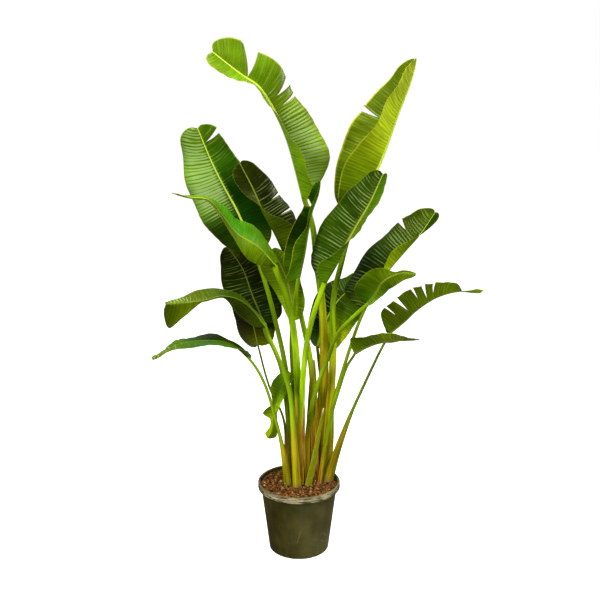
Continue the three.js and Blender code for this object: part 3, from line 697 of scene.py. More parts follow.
def upper_leaf_finish():
    finish = Finish("leaf_upper", Specular_IOR_Level=0.12, Specular_Tint=GLOSS_TINT)
    streaks, crest, fine = vein_lines(finish)
    cloud = leaf_cloud(finish)
    # The upper lightness holds painted shade where a half lies in shade.
    green = leaf_colour(finish, "upper", "olive", UPPER_GAIN)
    green = finish.brighten(green, 0.40 + 0.30 * streaks + 0.25 * fine + 0.75 * cloud)
    # Darker in the valleys along the strong veins: painted shade in the grooves.
    green = finish.brighten(green, 0.65 + 0.35 * crest.step(0.0, 0.4))
    green = with_painted_sheen(finish, green, streaks, crest)
    height = 0.5 * streaks + 0.5 * crest + 0.1 * fine
    return finish.wear(
        Base_Color=with_margins(finish, green),
        Roughness=0.25 + 0.2 * cloud,
        Normal=finish.bump(height, 0.0018, 0.4),
    )


def under_leaf_finish():
    finish = Finish("leaf_under", Specular_IOR_Level=0.15, Specular_Tint=GLOSS_TINT)
    streaks, crest, fine = vein_lines(finish)
    cloud = leaf_cloud(finish)
    green = leaf_colour(finish, "under", "under_olive", UNDER_GAIN)
    green = finish.brighten(green, 0.4 + 0.45 * streaks + 0.3 * fine + 0.45 * cloud)
    green = finish.brighten(green, 0.85 + 0.3 * crest**4)
    height = 0.6 * streaks + 0.3 * crest + 0.1 * fine
    return finish.wear(
        Base_Color=with_margins(finish, green),
        Roughness=0.5 + 0.2 * cloud,
        Normal=finish.bump(height, 0.0015, 0.4),
    )


def rib_finish():
    finish = Finish("leaf_rib", Specular_IOR_Level=0.25, Specular_Tint=GLOSS_TINT, Roughness=0.4)
    fibre = finish.noise(finish.stretched(60, 60, 12), 6.0, 3.0)
    lightness = finish.reflectance("ribs") * RIB_GAIN
    pale = finish.brighten(RIB_PALE, lightness * (0.7 + 0.6 * fibre))
    green = leaf_colour(finish, "upper", "olive", UPPER_GAIN)
    return finish.wear(
        Base_Color=finish.mix(finish.attribute("ridge").step(0.0, 0.35), green, pale),
        Normal=finish.bump(fibre, 0.0006, 0.4),
    )


# ---- Stalk and sheath finishes ----
# Each stalk carries: along, metres from the soil; around, metres round it; sheath, 1 at the
# soil and 0 where the sheath ends; margin, 1 on the sheath's thin edges; flank, 1 there and
# less all round it; channel, 1 in the middle of its channel; stalk, dry and leaf.
# Each old sheath carries: rise, 0 at its foot and 1 at its tip; margin, as on a stalk; green.

STALK_GAIN = 0.8
STALK_GREEN = (0.60, 1.0, 0.008)
SHEATH_GREEN = (0.90, 1.0, 0.008)
FLANK_ORANGE = (0.60, 0.27, 0.004)
SHEATH_BROWNS = ((0.11, 0.030, 0.001), (0.46, 0.19, 0.006))
SHEATH_EDGES = ((0.52, 0.20, 0.008), (0.70, 0.44, 0.12))
SOILED = (0.16, 0.10, 0.05)
OLD_BROWNS = ((0.11, 0.035, 0.003), (0.42, 0.18, 0.014))
OLD_GREENS = ((0.13, 0.17, 0.002), (0.26, 0.34, 0.004))
OLD_STRAW = (0.55, 0.36, 0.12)
OLD_EDGE = (0.62, 0.34, 0.06)
OLD_TIP = (0.62, 0.50, 0.22)


def stalk_finish():
    finish = Finish("stalk", Specular_IOR_Level=0.25, Specular_Tint=GLOSS_TINT)
    along = finish.attribute("along")
    around = finish.attribute("around")
    sheath = finish.attribute("sheath")
    dry = finish.attribute("dry")
    leaf = finish.attribute("leaf")
    fibres = finish.noise(finish.point(along * 7, around * 330, leaf), 1.0, 4.0).step(0.25, 0.75)
    cloud = finish.noise(finish.point(along * 5, around * 30, leaf), 1.0, 3.0).step(0.3, 0.7)
    lightness = finish.reflectance("stalk") * STALK_GAIN * (1 - 0.35 * along.step(0.55, 0.95))
    tint = finish.mix(sheath.step(0.0, 0.5), STALK_GREEN, SHEATH_GREEN)
    skin = finish.brighten(tint, lightness * (0.8 + 0.7 * cloud))
    warm = finish.attribute("flank") * sheath.step(0.0, 0.5) * (0.3 + 0.9 * cloud)
    skin = finish.mix(warm * (0.2 + 0.8 * dry), skin, FLANK_ORANGE)
    dryness = dry * sheath * (0.9 + 1.3 * finish.attribute("channel")) * (0.4 + cloud)
    skin = finish.mix(dryness.step(0.45, 0.95), skin, finish.mix(fibres, *SHEATH_BROWNS))
    margin = finish.attribute("margin") * sheath.step(0.03, 0.3)
    skin = finish.mix(margin * (0.3 + 0.6 * dry), skin, finish.mix(cloud, *SHEATH_EDGES))
    skin = finish.mix(along.step(0.03, 0.0) * 0.5, skin, SOILED)
    return finish.wear(
        Base_Color=finish.brighten(skin, 0.55 + 0.5 * fibres + 0.4 * cloud),
        Roughness=0.38 + 0.3 * sheath * fibres,
        Normal=finish.bump(fibres, 0.0010, 0.6),
    )


def old_sheath_finish():
    finish = Finish(
        "old_sheath", Specular_IOR_Level=0.3, Specular_Tint=GLOSS_TINT, Roughness=0.6
    )
    rise = finish.attribute("rise")
    green = finish.attribute("green")
    fibres = finish.noise(finish.stretched(160, 160, 6), 5.0, 4.0).step(0.3, 0.7)
    cloud = finish.noise(finish.stretched(1, 1, 0.3), 45.0, 3.0)
    freshness = (green * 1.4 + 0.6 * (cloud - 0.5)).step(0.3, 0.8)
    brown = finish.mix(fibres, *OLD_BROWNS)
    skin = finish.mix(freshness, brown, finish.mix(fibres, *OLD_GREENS))
    skin = finish.mix(cloud.step(0.5, 0.75) * (1 - green) * 0.5, skin, OLD_STRAW)
    skin = finish.mix(finish.attribute("margin"), skin, OLD_EDGE)
    skin = finish.mix(rise.step(0.9, 1.0), skin, OLD_TIP)
    return finish.wear(Base_Color=skin, Normal=finish.bump(fibres, 0.001, 0.6))


# ---- Pot and soil finishes ----
# The pot carries: height, metres above its foot; front, 1 at the front and 0 at the back. Each
# bark chip carries its shade, from 0, dark, to 1.

DUST_TINT = (1.0, 0.92, 0.55, 1)
POT_SHADED_SIDE = ((0.024, 0.019, 0.001), (0.058, 0.045, 0.001))
POT_LIT_SIDE = ((0.068, 0.064, 0.016), (0.13, 0.115, 0.034))
POT_RUBS = (0.11, 0.10, 0.05)
LIP_DUST = (0.54, 0.47, 0.28)
RIM_DUST = (0.26, 0.23, 0.15)
SCRATCH = (0.30, 0.25, 0.14)
FOOT_STAINS = (0.32, 0.27, 0.14)
SOIL_DARK = (0.008, 0.003, 0.001)
SOIL_BROWN = (0.13, 0.046, 0.008)
SOIL_PATCHES = (0.09, 0.036, 0.008)
CHIP_DARK = (0.010, 0.004, 0.001)
CHIP_BROWN = (0.26, 0.095, 0.014)
CHIP_PALE = (0.46, 0.27, 0.11)


def pot_finish():
    """Worn dark plastic with dust on the lip: browner painted shade at the left, greyer painted light
    at the right.
    """
    finish = Finish("pot", Specular_IOR_Level=0.15, Specular_Tint=DUST_TINT)
    height = finish.attribute("height")
    front = finish.attribute("front")
    aside = finish.node("SeparateXYZ", inputs={0: finish.place()})
    cloud = finish.noise(finish.place(), 12.0, 4.0).step(0.3, 0.7)
    grain = finish.noise(finish.place(), 900.0, 2.0)
    rubs = finish.noise(finish.stretched(70, 70, 14), 1.0, 4.0).step(0.45, 0.8)
    dust = finish.noise(finish.place(), 70.0, 5.0, 0.65)
    # Painted shade on the pot's left side, darker and browner, and painted light on its right side,
    # lighter and greyer.
    left = finish.mix(cloud, *POT_SHADED_SIDE)
    skin = finish.mix(aside.step(-0.11, 0.08), left, finish.mix(cloud, *POT_LIT_SIDE))
    skin = finish.mix(rubs * 0.3, skin, POT_RUBS)
    streaks = finish.noise(finish.stretched(28, 28, 210), 1.0, 4.0, 0.65)
    lip = height.step(0.2445, 0.248) * height.step(0.271, 0.264) * front.step(0.55, 0.9)
    skin = finish.mix(lip * streaks.step(0.42, 0.6), skin, LIP_DUST)
    rim = height.step(0.266, 0.2695)
    skin = finish.mix(rim * dust.step(0.35, 0.6) * 0.5, skin, RIM_DUST)
    slant = (aside - 0.25 * (height - 0.1)).size()
    scratch = slant.step(0.003, 0.0) * height.step(0.065, 0.08) * height.step(0.135, 0.115)
    scratch = scratch * front.step(0.9, 0.95)
    skin = finish.mix(scratch * dust.step(0.35, 0.5) * 0.4, skin, SCRATCH)
    low_right = aside.step(0.05, 0.09) * height.step(0.11, 0.08) + height.step(0.02, 0.0)
    skin = finish.mix(low_right * dust.step(0.52, 0.66) * 0.6, skin, FOOT_STAINS)
    return finish.wear(
        Base_Color=skin,
        Roughness=0.45 + 0.3 * dust,
        Normal=finish.bump(grain + cloud * 2, 0.0006, 0.4),
    )


def soil_finish():
    finish = Finish("soil", Specular_IOR_Level=0.2, Specular_Tint=DUST_TINT, Roughness=0.85)
    crumbs = finish.noise(finish.place(), 220.0, 5.0, 0.7)
    cloud = finish.noise(finish.place(), 30.0, 3.0)
    brown = finish.mix(crumbs.step(0.25, 0.75), SOIL_DARK, SOIL_BROWN)
    brown = finish.mix(cloud.step(0.45, 0.7) * 0.4, brown, SOIL_PATCHES)
    return finish.wear(Base_Color=brown, Normal=finish.bump(crumbs, 0.004, 0.8))


def chip_finish():
    finish = Finish(
        "bark_chip", Specular_IOR_Level=0.25, Specular_Tint=DUST_TINT, Roughness=0.7
    )
    shade = finish.attribute("shade")
    fibres = finish.noise(finish.place(), 420.0, 4.0, 0.6)
    brown = finish.mix(shade.step(0.1, 0.9), CHIP_DARK, CHIP_BROWN)
    brown = finish.mix(shade.step(0.88, 1.0), brown, CHIP_PALE)
    brown = finish.brighten(brown, 0.7 + 0.9 * fibres)
    return finish.wear(Base_Color=brown, Normal=finish.bump(fibres, 0.0012, 0.6))


# ---- Curves and frames ----


def unit(vectors):
    return vectors / np.maximum(np.linalg.norm(vectors, axis=-1, keepdims=True), 1e-9)


def angles_round(sides):
    return 2 * np.pi * np.arange(sides) / sides


def keyed(values, t):
    """A smooth run through evenly spaced values."""
    values = np.asarray(values, float)
    last = len(values) - 1
    place = np.clip(t, 0, 1) * last
    index = np.clip(place.astype(int), 0, max(last - 1, 0))
    part = place - index
    if values.ndim > 1:
        part = part[:, None]
    a, b, c, d = (values[np.clip(index + k, 0, last)] for k in (-1, 0, 1, 2))
    bend = (2 * a - 5 * b + 4 * c - d) * part**2
    twist = (3 * b - a - 3 * c + d) * part**3
    return (2 * b + (c - a) * part + bend + twist) / 2


class Line:
    """A smooth curve through points, measured along its length (centripetal Catmull-Rom)."""

    STEPS = 60  # from each point to the next
    NEARBY = 0.004  # share of the length over which a direction is measured, either way

    def __init__(self, points):
        points = [np.array(point, float) for point in points]
        ends = [2 * points[0] - points[1], *points, 2 * points[-1] - points[-2]]
        path = []
        for before, start, end, after in zip(ends, ends[1:], ends[2:], ends[3:]):
            path.extend(self.span(before, start, end, after))
        self.path = np.array([*path, points[-1]])
        lengths = np.linalg.norm(np.diff(self.path, axis=0), axis=1)
        self.reach = np.concatenate([[0], np.cumsum(lengths)])
        self.length = self.reach[-1]

    def span(self, before, start, end, after):
        """The stretch from start to end; g0, g1 and g2 are the gaps before, in and after it."""
        steps = np.diff([before, start, end, after], axis=0)
        g0, g1, g2 = np.linalg.norm(steps, axis=1) ** 0.5
        first = (start - before) / g0 - (end - before) / (g0 + g1) + (end - start) / g1
        last = (end - start) / g1 - (after - start) / (g1 + g2) + (after - end) / g2
        s = np.arange(self.STEPS)[:, None] / self.STEPS
        return (
            (2 * s**3 - 3 * s**2 + 1) * start
            + (s**3 - 2 * s**2 + s) * first * g1
            + (3 * s**2 - 2 * s**3) * end
            + (s**3 - s**2) * last * g1
        )

    def at(self, t):
        where = np.asarray(t) * self.length
        return np.stack([np.interp(where, self.reach, self.path[:, k]) for k in range(3)], -1)

    def along(self, t):
        t = np.asarray(t)
        before, after = np.clip(t - self.NEARBY, 0, 1), np.clip(t + self.NEARBY, 0, 1)
        return unit(self.at(after) - self.at(before))


# ---- Mesh pieces ----


def new_mesh(name, points, faces):
    mesh = bpy.data.meshes.new(name)
    mesh.from_pydata((np.asarray(points) * MM).tolist(), [], faces)
    return mesh


def mesh_piece(name, points, faces, materials, attributes=None, material_index=None):
    """A smooth mesh that rides on the part, with attributes of one value a point."""
    mesh = new_mesh(name, points, faces)
    for key, values in (attributes or {}).items():
        layer = mesh.attributes.new(key, "FLOAT", "POINT")
        layer.data.foreach_set("value", np.asarray(values, np.float32))
    for material in materials:
        mesh.materials.append(material)
    if material_index is not None:
        mesh.polygons.foreach_set("material_index", np.asarray(material_index, np.int32))
    mesh.polygons.foreach_set("use_smooth", np.ones(len(mesh.polygons), bool))
    mesh.update()
    piece = bpy.data.objects.new(name, mesh)
    bpy.context.scene.collection.objects.link(piece)
    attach(piece, "root")
    return piece


def grid_faces(low, high):
    """Quads between pairs of rows of point numbers."""
    corners = [low[:, :-1], low[:, 1:], high[:, 1:], high[:, :-1]]
    return np.stack(corners, -1).reshape(-1, 4)


def tube_faces(rings, sides):
    """Quads round a tube, and its two flat ends."""
    numbers = np.arange(rings * sides).reshape(rings, sides)
    round_again = np.concatenate([numbers, numbers[:, :1]], 1)
    quads = grid_faces(round_again[:-1], round_again[1:]).tolist()
    return [*quads, numbers[0, ::-1].tolist(), numbers[-1].tolist()]


# ---- Leaf blade ----

ROW_STEP = 5.0  # length of rib between two rows
ROW_CROWDING = 0.4  # how much closer the rows lie at both ends
HALF_COLUMNS = 14
RIB_COLUMNS = 6
BLADE_THICKNESS = 0.8
BLADE_ENDS = (0.003, 0.997)
ROUND_END = 0.12  # share of the rib over which each end is rounded
VEIN_LEAN = (-0.3, 0.45)  # how far the veins lean on along the rib at its base and at its tip
VEIN_BEND = 1.6
RIPPLE = 4.0
RIPPLE_LENGTH = 130.0
FINE_RIPPLE = 1.1
FINE_RIPPLE_LENGTH = 31.0
FINE_RIPPLE_FADE = 83.0
HALVES_APART = 1.7  # between the ripples of a leaf's two halves
LEAVES_APART = 3.1  # between two leaves in the noise of their finishes
RIB_CHANNEL = 0.22  # depth of the channel over the rib, as a share of the keel's half width
KEEL_FADE_ROWS = 6  # rows at the tip over which the keel thins out
TEAR_REACH = 50.0  # how far along the rib a tear still bends the blade
TEAR_DROOP = 0.12  # how far the blade sags after a tear, as a share of the tear's opening
TEAR_LEAST = 0.02  # share of a tear, at its inner end, where the lips still touch
TEAR_EDGE = 5.0  # how far from a tear its edge is brown
UPPER, UNDER, RIB = 0, 1, 2

# The blade's columns run from the left margin over the rib to the right margin.

FIRST_RIGHT = HALF_COLUMNS + RIB_COLUMNS
COLUMNS = {
    "left": range(HALF_COLUMNS, -1, -1),
    "right": range(FIRST_RIGHT, FIRST_RIGHT + HALF_COLUMNS + 1),
}
SHARES = np.linspace(0, 1, HALF_COLUMNS + 1) ** 0.85  # of a half's width, from the rib out
RIB_SHARES = np.linspace(-1, 1, RIB_COLUMNS + 1)
SIDE = np.concatenate([-SHARES[::-1], np.zeros(RIB_COLUMNS - 1), SHARES])
RIDGE = np.pad(1 - np.abs(RIB_SHARES), HALF_COLUMNS)


def rib_frame(rib, face, t):
    """The rib's points and directions at fractions of its length."""
    along = rib.along(t)
    up = keyed(face, t)
    up = unit(up - (up * along).sum(1, keepdims=True) * along)
    return rib.at(t), along, up, np.cross(along, up)


def blade_rows(leaf, length):
    """Places of the rows, close together at both ends, with one at each tear."""
    u = np.linspace(0, 1, int(length / ROW_STEP))
    eased = (1 - ROW_CROWDING) * u + ROW_CROWDING * (0.5 - 0.5 * np.cos(np.pi * u))
    t = BLADE_ENDS[0] + (BLADE_ENDS[1] - BLADE_ENDS[0]) * eased
    for _, place, _, _ in leaf["tears"]:
        t[np.argmin(np.abs(t - place))] = place
    return t


def keel_width(leaf, t):
    """Half the width of the keel under the rib."""
    return leaf["petiole"] * (0.75 - 0.55 * t)


def keel_depth(leaf, t):
    return leaf["petiole"] * (1.3 - 1.0 * t)


def half_width(half, t):
    """A half's width at fractions of the rib, rounded off towards both ends."""
    to_end = np.minimum(1, np.minimum(t, 1 - t) / ROUND_END)
    return keyed(half["width"], t) * np.sqrt(to_end * (2 - to_end))


def half_grid(leaf, half, side, frame_at, t, length, seed):
    """Points of one half, from the keel's edge to the margin: rows along the rib."""
    centre, along, up, across = frame_at
    width = half_width(half, t)[:, None]
    fold = np.radians(keyed(half["fold"], t))[:, None]
    curl = np.radians(keyed(half["curl"], t))[:, None]
    lean = (VEIN_LEAN[0] + (VEIN_LEAN[1] - VEIN_LEAN[0]) * t)[:, None]
    run = (t * length)[:, None]
    wave = RIPPLE * np.sin(2 * np.pi * run / RIPPLE_LENGTH + side)
    fine = FINE_RIPPLE * np.sin(2 * np.pi * run / FINE_RIPPLE_LENGTH + seed)
    fine = fine * (0.5 + 0.5 * np.sin(run / FINE_RIPPLE_FADE + 2 * seed))
    point = centre + side * keel_width(leaf, t)[:, None] * across
    grid = [point]
    for inner, outer in zip(SHARES, SHARES[1:]):
        angle = fold + curl * (inner + outer) / 2
        step = width * (outer - inner)
        point = point + side * np.cos(angle) * step * across + np.sin(angle) * step * up
        point = point + lean * width * (outer**VEIN_BEND - inner**VEIN_BEND) * along
        rise = np.cos(angle) * up - side * np.sin(angle) * across
        grid.append(point + (wave * outer**2 + fine * outer**1.5) * rise)
    return np.stack(grid, 1)


def rib_grid(leaf, frame_at, t):
    """The strip over the keel, with a shallow channel along its middle."""
    centre, _, up, across = frame_at
    width = keel_width(leaf, t)[:, None]
    columns = []
    for share in RIB_SHARES:
        channel = RIB_CHANNEL * width * (1 - share**2) * (1 - 0.6 * t[:, None])
        columns.append(centre + share * width * across - channel * up)
    return np.stack(columns, 1)


def tear_apart(leaf, grid, t, length, frame_at):
    """Opens each tear: rows before it draw back and rows after it draw on, easing out from it.

    Gives which points are torn in two, the step from each one's far lip to its near one, and
    how close each point is to a torn edge.
    """
    _, along, up, _ = frame_at
    torn = np.zeros(grid.shape[:2], bool)
    lips = np.zeros(grid.shape)
    cut = np.zeros(grid.shape[:2])
    for side, place, start, opening in leaf["tears"]:
        row = int(np.argmin(np.abs(t - place)))
        away = (t - t[row]) * length
        reach = np.clip(1 - np.abs(away) / TEAR_REACH, 0, 1)
        for column, share in zip(COLUMNS[side], SHARES):
            apart = (share - start) / (1 - start)
            if apart <= TEAR_LEAST:
                continue
            shift = opening / 2 * apart * reach * np.where(away < 0, -1, 1)
            droop = TEAR_DROOP * opening * apart * reach * (away > 0)
            grid[:, column] += shift[:, None] * along - droop[:, None] * up
            torn[row, column] = True
            lips[row, column] = -opening * apart * along[row]
            edge = np.clip(1 - np.abs(away) / TEAR_EDGE, 0, 1) * min(1, apart * 4)
            cut[:, column] = np.maximum(cut[:, column], edge)
    return torn, lips, cut


def point_normals(points, quads):
    corners = points[quads]
    facing = unit(np.cross(corners[:, 2] - corners[:, 0], corners[:, 3] - corners[:, 1]))
    normals = np.zeros_like(points)
    for corner in range(4):
        np.add.at(normals, quads[:, corner], facing)
    return unit(normals)


def blade_depth(leaf, t):
    """How far the underside lies below each point: the blade, and the keel under the rib."""
    arch = np.pad(np.sqrt(1 - RIB_SHARES[1:-1] ** 2), HALF_COLUMNS + 1)
    fade = np.clip(len(t) - 1 - np.arange(len(t)), 0, KEEL_FADE_ROWS) / KEEL_FADE_ROWS
    return BLADE_THICKNESS + (keel_depth(leaf, t) * fade)[:, None] * arch


def blade_values(looks, t, length, cut):
    """What the leaf finishes read and varies over the blade, as tables of rows and columns."""
    share = np.clip(0.5 + 20 * SIDE, 0, 1)

    def by_half(left, right):
        """Runs from the left half's values over to the right one's."""
        column = keyed(left, t)[:, None]
        return column + (keyed(right, t)[:, None] - column) * share

    return {
        "vein": np.repeat((t * length * MM)[:, None], len(SIDE), 1),
        "side": np.tile(SIDE, (len(t), 1)),
        "cut": cut,
        "upper": by_half(looks["left"], looks["right"]),
        # The painted sheen, a painted highlight, of each half.
        "painted_sheen": by_half(looks.get("painted_sheen_left", NO_PAINTED_SHEEN), looks.get("painted_sheen_right", NO_PAINTED_SHEEN)),
        "under": by_half(looks["under"], looks["under"]),
        "olive": by_half(looks["olive"], looks.get("olive_right", looks["olive"])),
        "under_olive": by_half(looks["under_olive"], looks["under_olive"]),
        "ridge": np.tile(RIDGE, (len(t), 1)),
    }


def blade_piece(name, leaf, looks, seed, materials):
    rib = Line(leaf["rib"])
    t = blade_rows(leaf, rib.length)
    frame_at = rib_frame(rib, leaf["face"], t)
    left = half_grid(leaf, leaf["left"], -1, frame_at, t, rib.length, seed)
    right = half_grid(leaf, leaf["right"], 1, frame_at, t, rib.length, seed + HALVES_APART)
    grid = np.concatenate([left[:, ::-1], rib_grid(leaf, frame_at, t)[:, 1:-1], right], 1)
    torn, lips, cut = tear_apart(leaf, grid, t, rib.length, frame_at)

    # A torn point is two: the lip nearer the leaf's base keeps the number, and the far lip gets a
    # new one at the end.
    rows, width = torn.shape
    near = np.arange(rows * width).reshape(rows, width)
    far = near.copy()
    far[torn] = rows * width + np.arange(torn.sum())
    upper = np.concatenate([(grid + lips).reshape(-1, 3), grid[torn]])

    def spread(table):
        """One value a point of the upper side, from a table of rows and columns."""
        return np.concatenate([table.reshape(-1), table[torn]])

    quads = grid_faces(far[:-1], near[1:])
    lower = upper - point_normals(upper, quads) * spread(blade_depth(leaf, t))[:, None]
    count = len(upper)
    sides = np.stack([quads, np.roll(quads, -1, 1)], -1).reshape(-1, 2)
    edges = dict.fromkeys(map(tuple, sides.tolist()))
    walls = [(b, a, a + count, b + count) for a, b in edges if (b, a) not in edges]
    faces = [*quads.tolist(), *(quads[:, ::-1] + count).tolist(), *walls]
    column = np.tile(np.arange(width - 1), rows - 1)
    on_rib = (column >= HALF_COLUMNS) & (column < FIRST_RIGHT)
    index = [np.where(on_rib, RIB, UPPER), np.where(on_rib, RIB, UNDER), [UNDER] * len(walls)]

    tables = blade_values(looks, t, rib.length, cut)
    attributes = {key: np.tile(spread(table), 2) for key, table in tables.items()}
    attributes["ridge"][count:] = 1
    single = {"ribs": looks["rib"], "edge": looks["edge"], "leaf": seed * LEAVES_APART}
    attributes |= {key: np.full(2 * count, value) for key, value in single.items()}
    points = np.concatenate([upper, lower])
    index = np.concatenate(index)
    piece = mesh_piece(f"{name}_blade", points, faces, materials, attributes, index)
    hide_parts(name)


# ---- Stalk and sheath ----

HOLE_DEPTH = 30.0  # how deep the foot is buried
STALK_STEP = 8.0
STALK_SIDES = 28
STALK_GROOVE = 0.16
SHEATH_GROOVE = 0.34  # deeper by this at the foot of a sheath
FRONT_DEPTH = 0.72  # depth of a stalk's flatter front, as a share of its back's
LIP_TURN = 0.85  # radians from the middle of the channel to each of its lips
CHANNEL_SPREAD, LIP_SPREAD, FLANK_SPREAD = 0.55, 0.13, 0.9
SINK_FROM = 0.85  # share of the stalk from which it sinks under the rib, into the keel
INTO_KEEL = (0.03, 0.06, 0.1)
CLUMP_FRONT = np.array([30.0, -60.0, 0.0])  # where the sheaths' channels look
FORWARD = np.array([0.0, -1.0, 0.0])


def foot_of(stalk):
    """The buried foot goes straight on below the lowest point of the stalk."""
    first, second = np.array(stalk[0], float), np.array(stalk[1], float)
    return first + unit(first - second) * HOLE_DEPTH


def bell(off, spread):
    return np.exp(-((off / spread) ** 2))


def ring_at(centre, along, half_width, half_depth, groove, inward):
    """A ring of the stalk, with a channel pressed in on the side that looks inward.

    Gives the ring, and how far each point is on a lip, on a flank and in the channel.
    """
    front = unit(FORWARD - (FORWARD @ along) * along)
    across = np.cross(front, along)
    angles = angles_round(STALK_SIDES)
    depth = np.sin(angles) * half_depth * np.where(np.sin(angles) > 0, FRONT_DEPTH, 1)
    aim = math.atan2(inward @ front, inward @ across)
    off = np.abs((angles - aim + np.pi) % (2 * np.pi) - np.pi)
    channel = bell(off, CHANNEL_SPREAD)
    pressed = 1 - groove * channel
    ring = centre + (np.cos(angles) * half_width * pressed)[:, None] * across
    marks = bell(off - LIP_TURN, LIP_SPREAD), bell(off - LIP_TURN, FLANK_SPREAD), channel
    return ring + (depth * pressed)[:, None] * front, marks


def stalk_size(leaf, s):
    """Half width and half depth of the stalk at a fraction of its length."""
    width, depth, share = leaf["sheath"]
    part = min(s / share, 1)
    petiole = leaf["petiole"] * (1.25 - 0.25 * max(0, (s - share) / (1 - share)))
    return width + (petiole - width) * part, depth + (petiole - depth) * part


def stalk_rings(leaf):
    """Each ring with its marks, its place from the soil and how far it is in the sheath."""
    line = Line([foot_of(leaf["stalk"]), *leaf["stalk"], leaf["rib"][0]])
    rib = Line(leaf["rib"])
    rib_up = rib_frame(rib, leaf["face"], np.array([0.0]))[2][0]
    inward = unit(CLUMP_FRONT - np.array(leaf["stalk"][0]) * [1, 1, 0])
    visible = line.length - HOLE_DEPTH
    for u in np.linspace(0, 1, int(line.length / STALK_STEP)):
        run = u * line.length - HOLE_DEPTH
        s = max(0.0, run / visible)
        sheath = min(max(1 - s / leaf["sheath"][2], 0), 1)
        groove = SHEATH_GROOVE * sheath**0.5 + STALK_GROOVE
        ease = min(max((u - SINK_FROM) / (1 - SINK_FROM), 0), 1)
        sink = ease * ease * (3 - 2 * ease) * leaf["petiole"] * 0.6
        centre = line.at([u])[0] - sink * rib_up
        along = line.along([u])[0]
        yield *ring_at(centre, along, *stalk_size(leaf, s), groove, inward), run, sheath
    for t in INTO_KEEL:
        centre, along, up, _ = (value[0] for value in rib_frame(rib, leaf["face"], np.array([t])))
        half = leaf["petiole"] * (1 - 0.45 * t / INTO_KEEL[-1])
        ring = ring_at(centre - up * half * 0.85, along, half * 0.8, half * 0.8, 0.1, inward)
        yield *ring, visible + t * rib.length, 0


def stalk_piece(name, leaf, looks, seed, material):
    rings, marks, runs, sheaths = zip(*stalk_rings(leaf))
    count = len(rings) * STALK_SIDES
    attributes = {
        "along": np.repeat(runs, STALK_SIDES) * MM,
        "around": np.tile(angles_round(STALK_SIDES) * leaf["sheath"][0] * MM, len(rings)),
        "sheath": np.repeat(sheaths, STALK_SIDES),
    }
    for key, mark in zip(("margin", "flank", "channel"), zip(*marks)):
        attributes[key] = np.concatenate(mark)
    single = {"stalk": looks["stalk"], "dry": looks["dry"], "leaf": seed * LEAVES_APART}
    attributes |= {key: np.full(count, value) for key, value in single.items()}
    points = np.concatenate(rings)
    faces = tube_faces(len(rings), STALK_SIDES)
    piece = mesh_piece(f"{name}_stalk", points, faces, [material], attributes)
    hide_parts(name)


# ---- Old sheath ----

OLD_RINGS = 24
OLD_TAPER = 0.96
OLD_BEND = 0.4
OLD_GROOVE = 0.5


def old_sheath_piece(name, sheath, material):
    """A thin channelled blade that narrows to its tip."""
    bottom = foot_of([sheath["foot"], sheath["tip"]])
    top = np.array(sheath["tip"], float)
    width, depth = sheath["size"]
    rises = np.linspace(0, 1, OLD_RINGS)
    rings = []
    for rise in rises:
        size = width * math.sqrt(1 - OLD_TAPER * rise) * 0.95, depth * 0.85
        centre = bottom + (top - bottom) * rise
        centre = centre + np.array([math.sin(rise * 4), 0, 0]) * depth * OLD_BEND
        rings.append(ring_at(centre, unit(top - bottom), *size, OLD_GROOVE, -FORWARD)[0])
    points = np.concatenate(rings)
    margin = np.clip((np.abs(np.cos(angles_round(STALK_SIDES))) - 0.8) / 0.15, 0, 1)
    attributes = {
        "rise": np.repeat(rises, STALK_SIDES),
        "margin": np.tile(margin, OLD_RINGS),
        "green": np.full(len(points), sheath["green"]),
    }
    faces = tube_faces(OLD_RINGS, STALK_SIDES)
    piece = mesh_piece(f"{name}_skin", points, faces, [material], attributes)
    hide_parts(name)


# ---- Pot ----

POT_HEIGHT = 270.0
POT_BASE = 115.0
POT_NECK = 145.0
POT_LIP = 158.0
POT_LIP_HEIGHT = 25.0
POT_RIM = 149.0  # the lip's inside
POT_RIM_STEP = 4.0
POT_WALL = 4.0
POT_FLOOR = 6.0
POT_ROUND = 3.0  # radius of the small rounds at the foot, the neck and the lip
LIP_ROUND = 4.5
POT_SIDES = 160
DRAIN_HOLES = 6
DRAIN_RADIUS = 7.0
DRAIN_CIRCLE = 84.0
DRAIN_SIDES = 24
DRAIN_PLUG = (-5.0, 20.0)  # the heights that a plug reaches from and to
NECK_HEIGHT = POT_HEIGHT - POT_LIP_HEIGHT


def arc(centre, radius, start, end, steps=6):
    """Points of a quarter round in the pot's profile, angles in degrees."""
    angles = np.radians(np.linspace(start, end, steps))
    return [(centre[0] + radius * math.cos(a), centre[1] + radius * math.sin(a)) for a in angles]


def pot_profile():
    """From the middle of the underside out, up the outside and down the inside."""
    slope = POT_NECK - POT_BASE
    outside = np.linspace(0, 1, 26)[1:-1]
    inside = np.linspace(0, 1, 8)
    inner_neck = POT_NECK - POT_WALL
    return [
        (0.5, 2.0),
        (POT_BASE - 12, 2.0),
        (POT_BASE - 9, 0.0),
        *arc((POT_BASE - POT_ROUND, POT_ROUND), POT_ROUND, -90, 0),
        *[(POT_BASE + slope * s, 4 + (NECK_HEIGHT - 7) * s) for s in outside],
        (POT_NECK, NECK_HEIGHT - 2),
        *arc((POT_NECK + POT_ROUND, NECK_HEIGHT - 2), POT_ROUND, 180, 90, 4),
        (POT_LIP - 5, NECK_HEIGHT + 1),
        *arc((POT_LIP - POT_ROUND, NECK_HEIGHT + 4), POT_ROUND, -90, 0, 4),
        (POT_LIP - 0.4, NECK_HEIGHT + 12),
        *arc((POT_LIP - LIP_ROUND, POT_HEIGHT - LIP_ROUND), LIP_ROUND, 0, 90),
        *arc((POT_RIM + POT_ROUND, POT_HEIGHT - POT_ROUND), POT_ROUND, 90, 180, 4),
        (POT_RIM, NECK_HEIGHT + 12),
        (POT_RIM, NECK_HEIGHT + POT_RIM_STEP),
        *[(inner_neck - slope * s, NECK_HEIGHT - (NECK_HEIGHT - POT_FLOOR) * s) for s in inside],
        (0.5, POT_FLOOR),
    ]


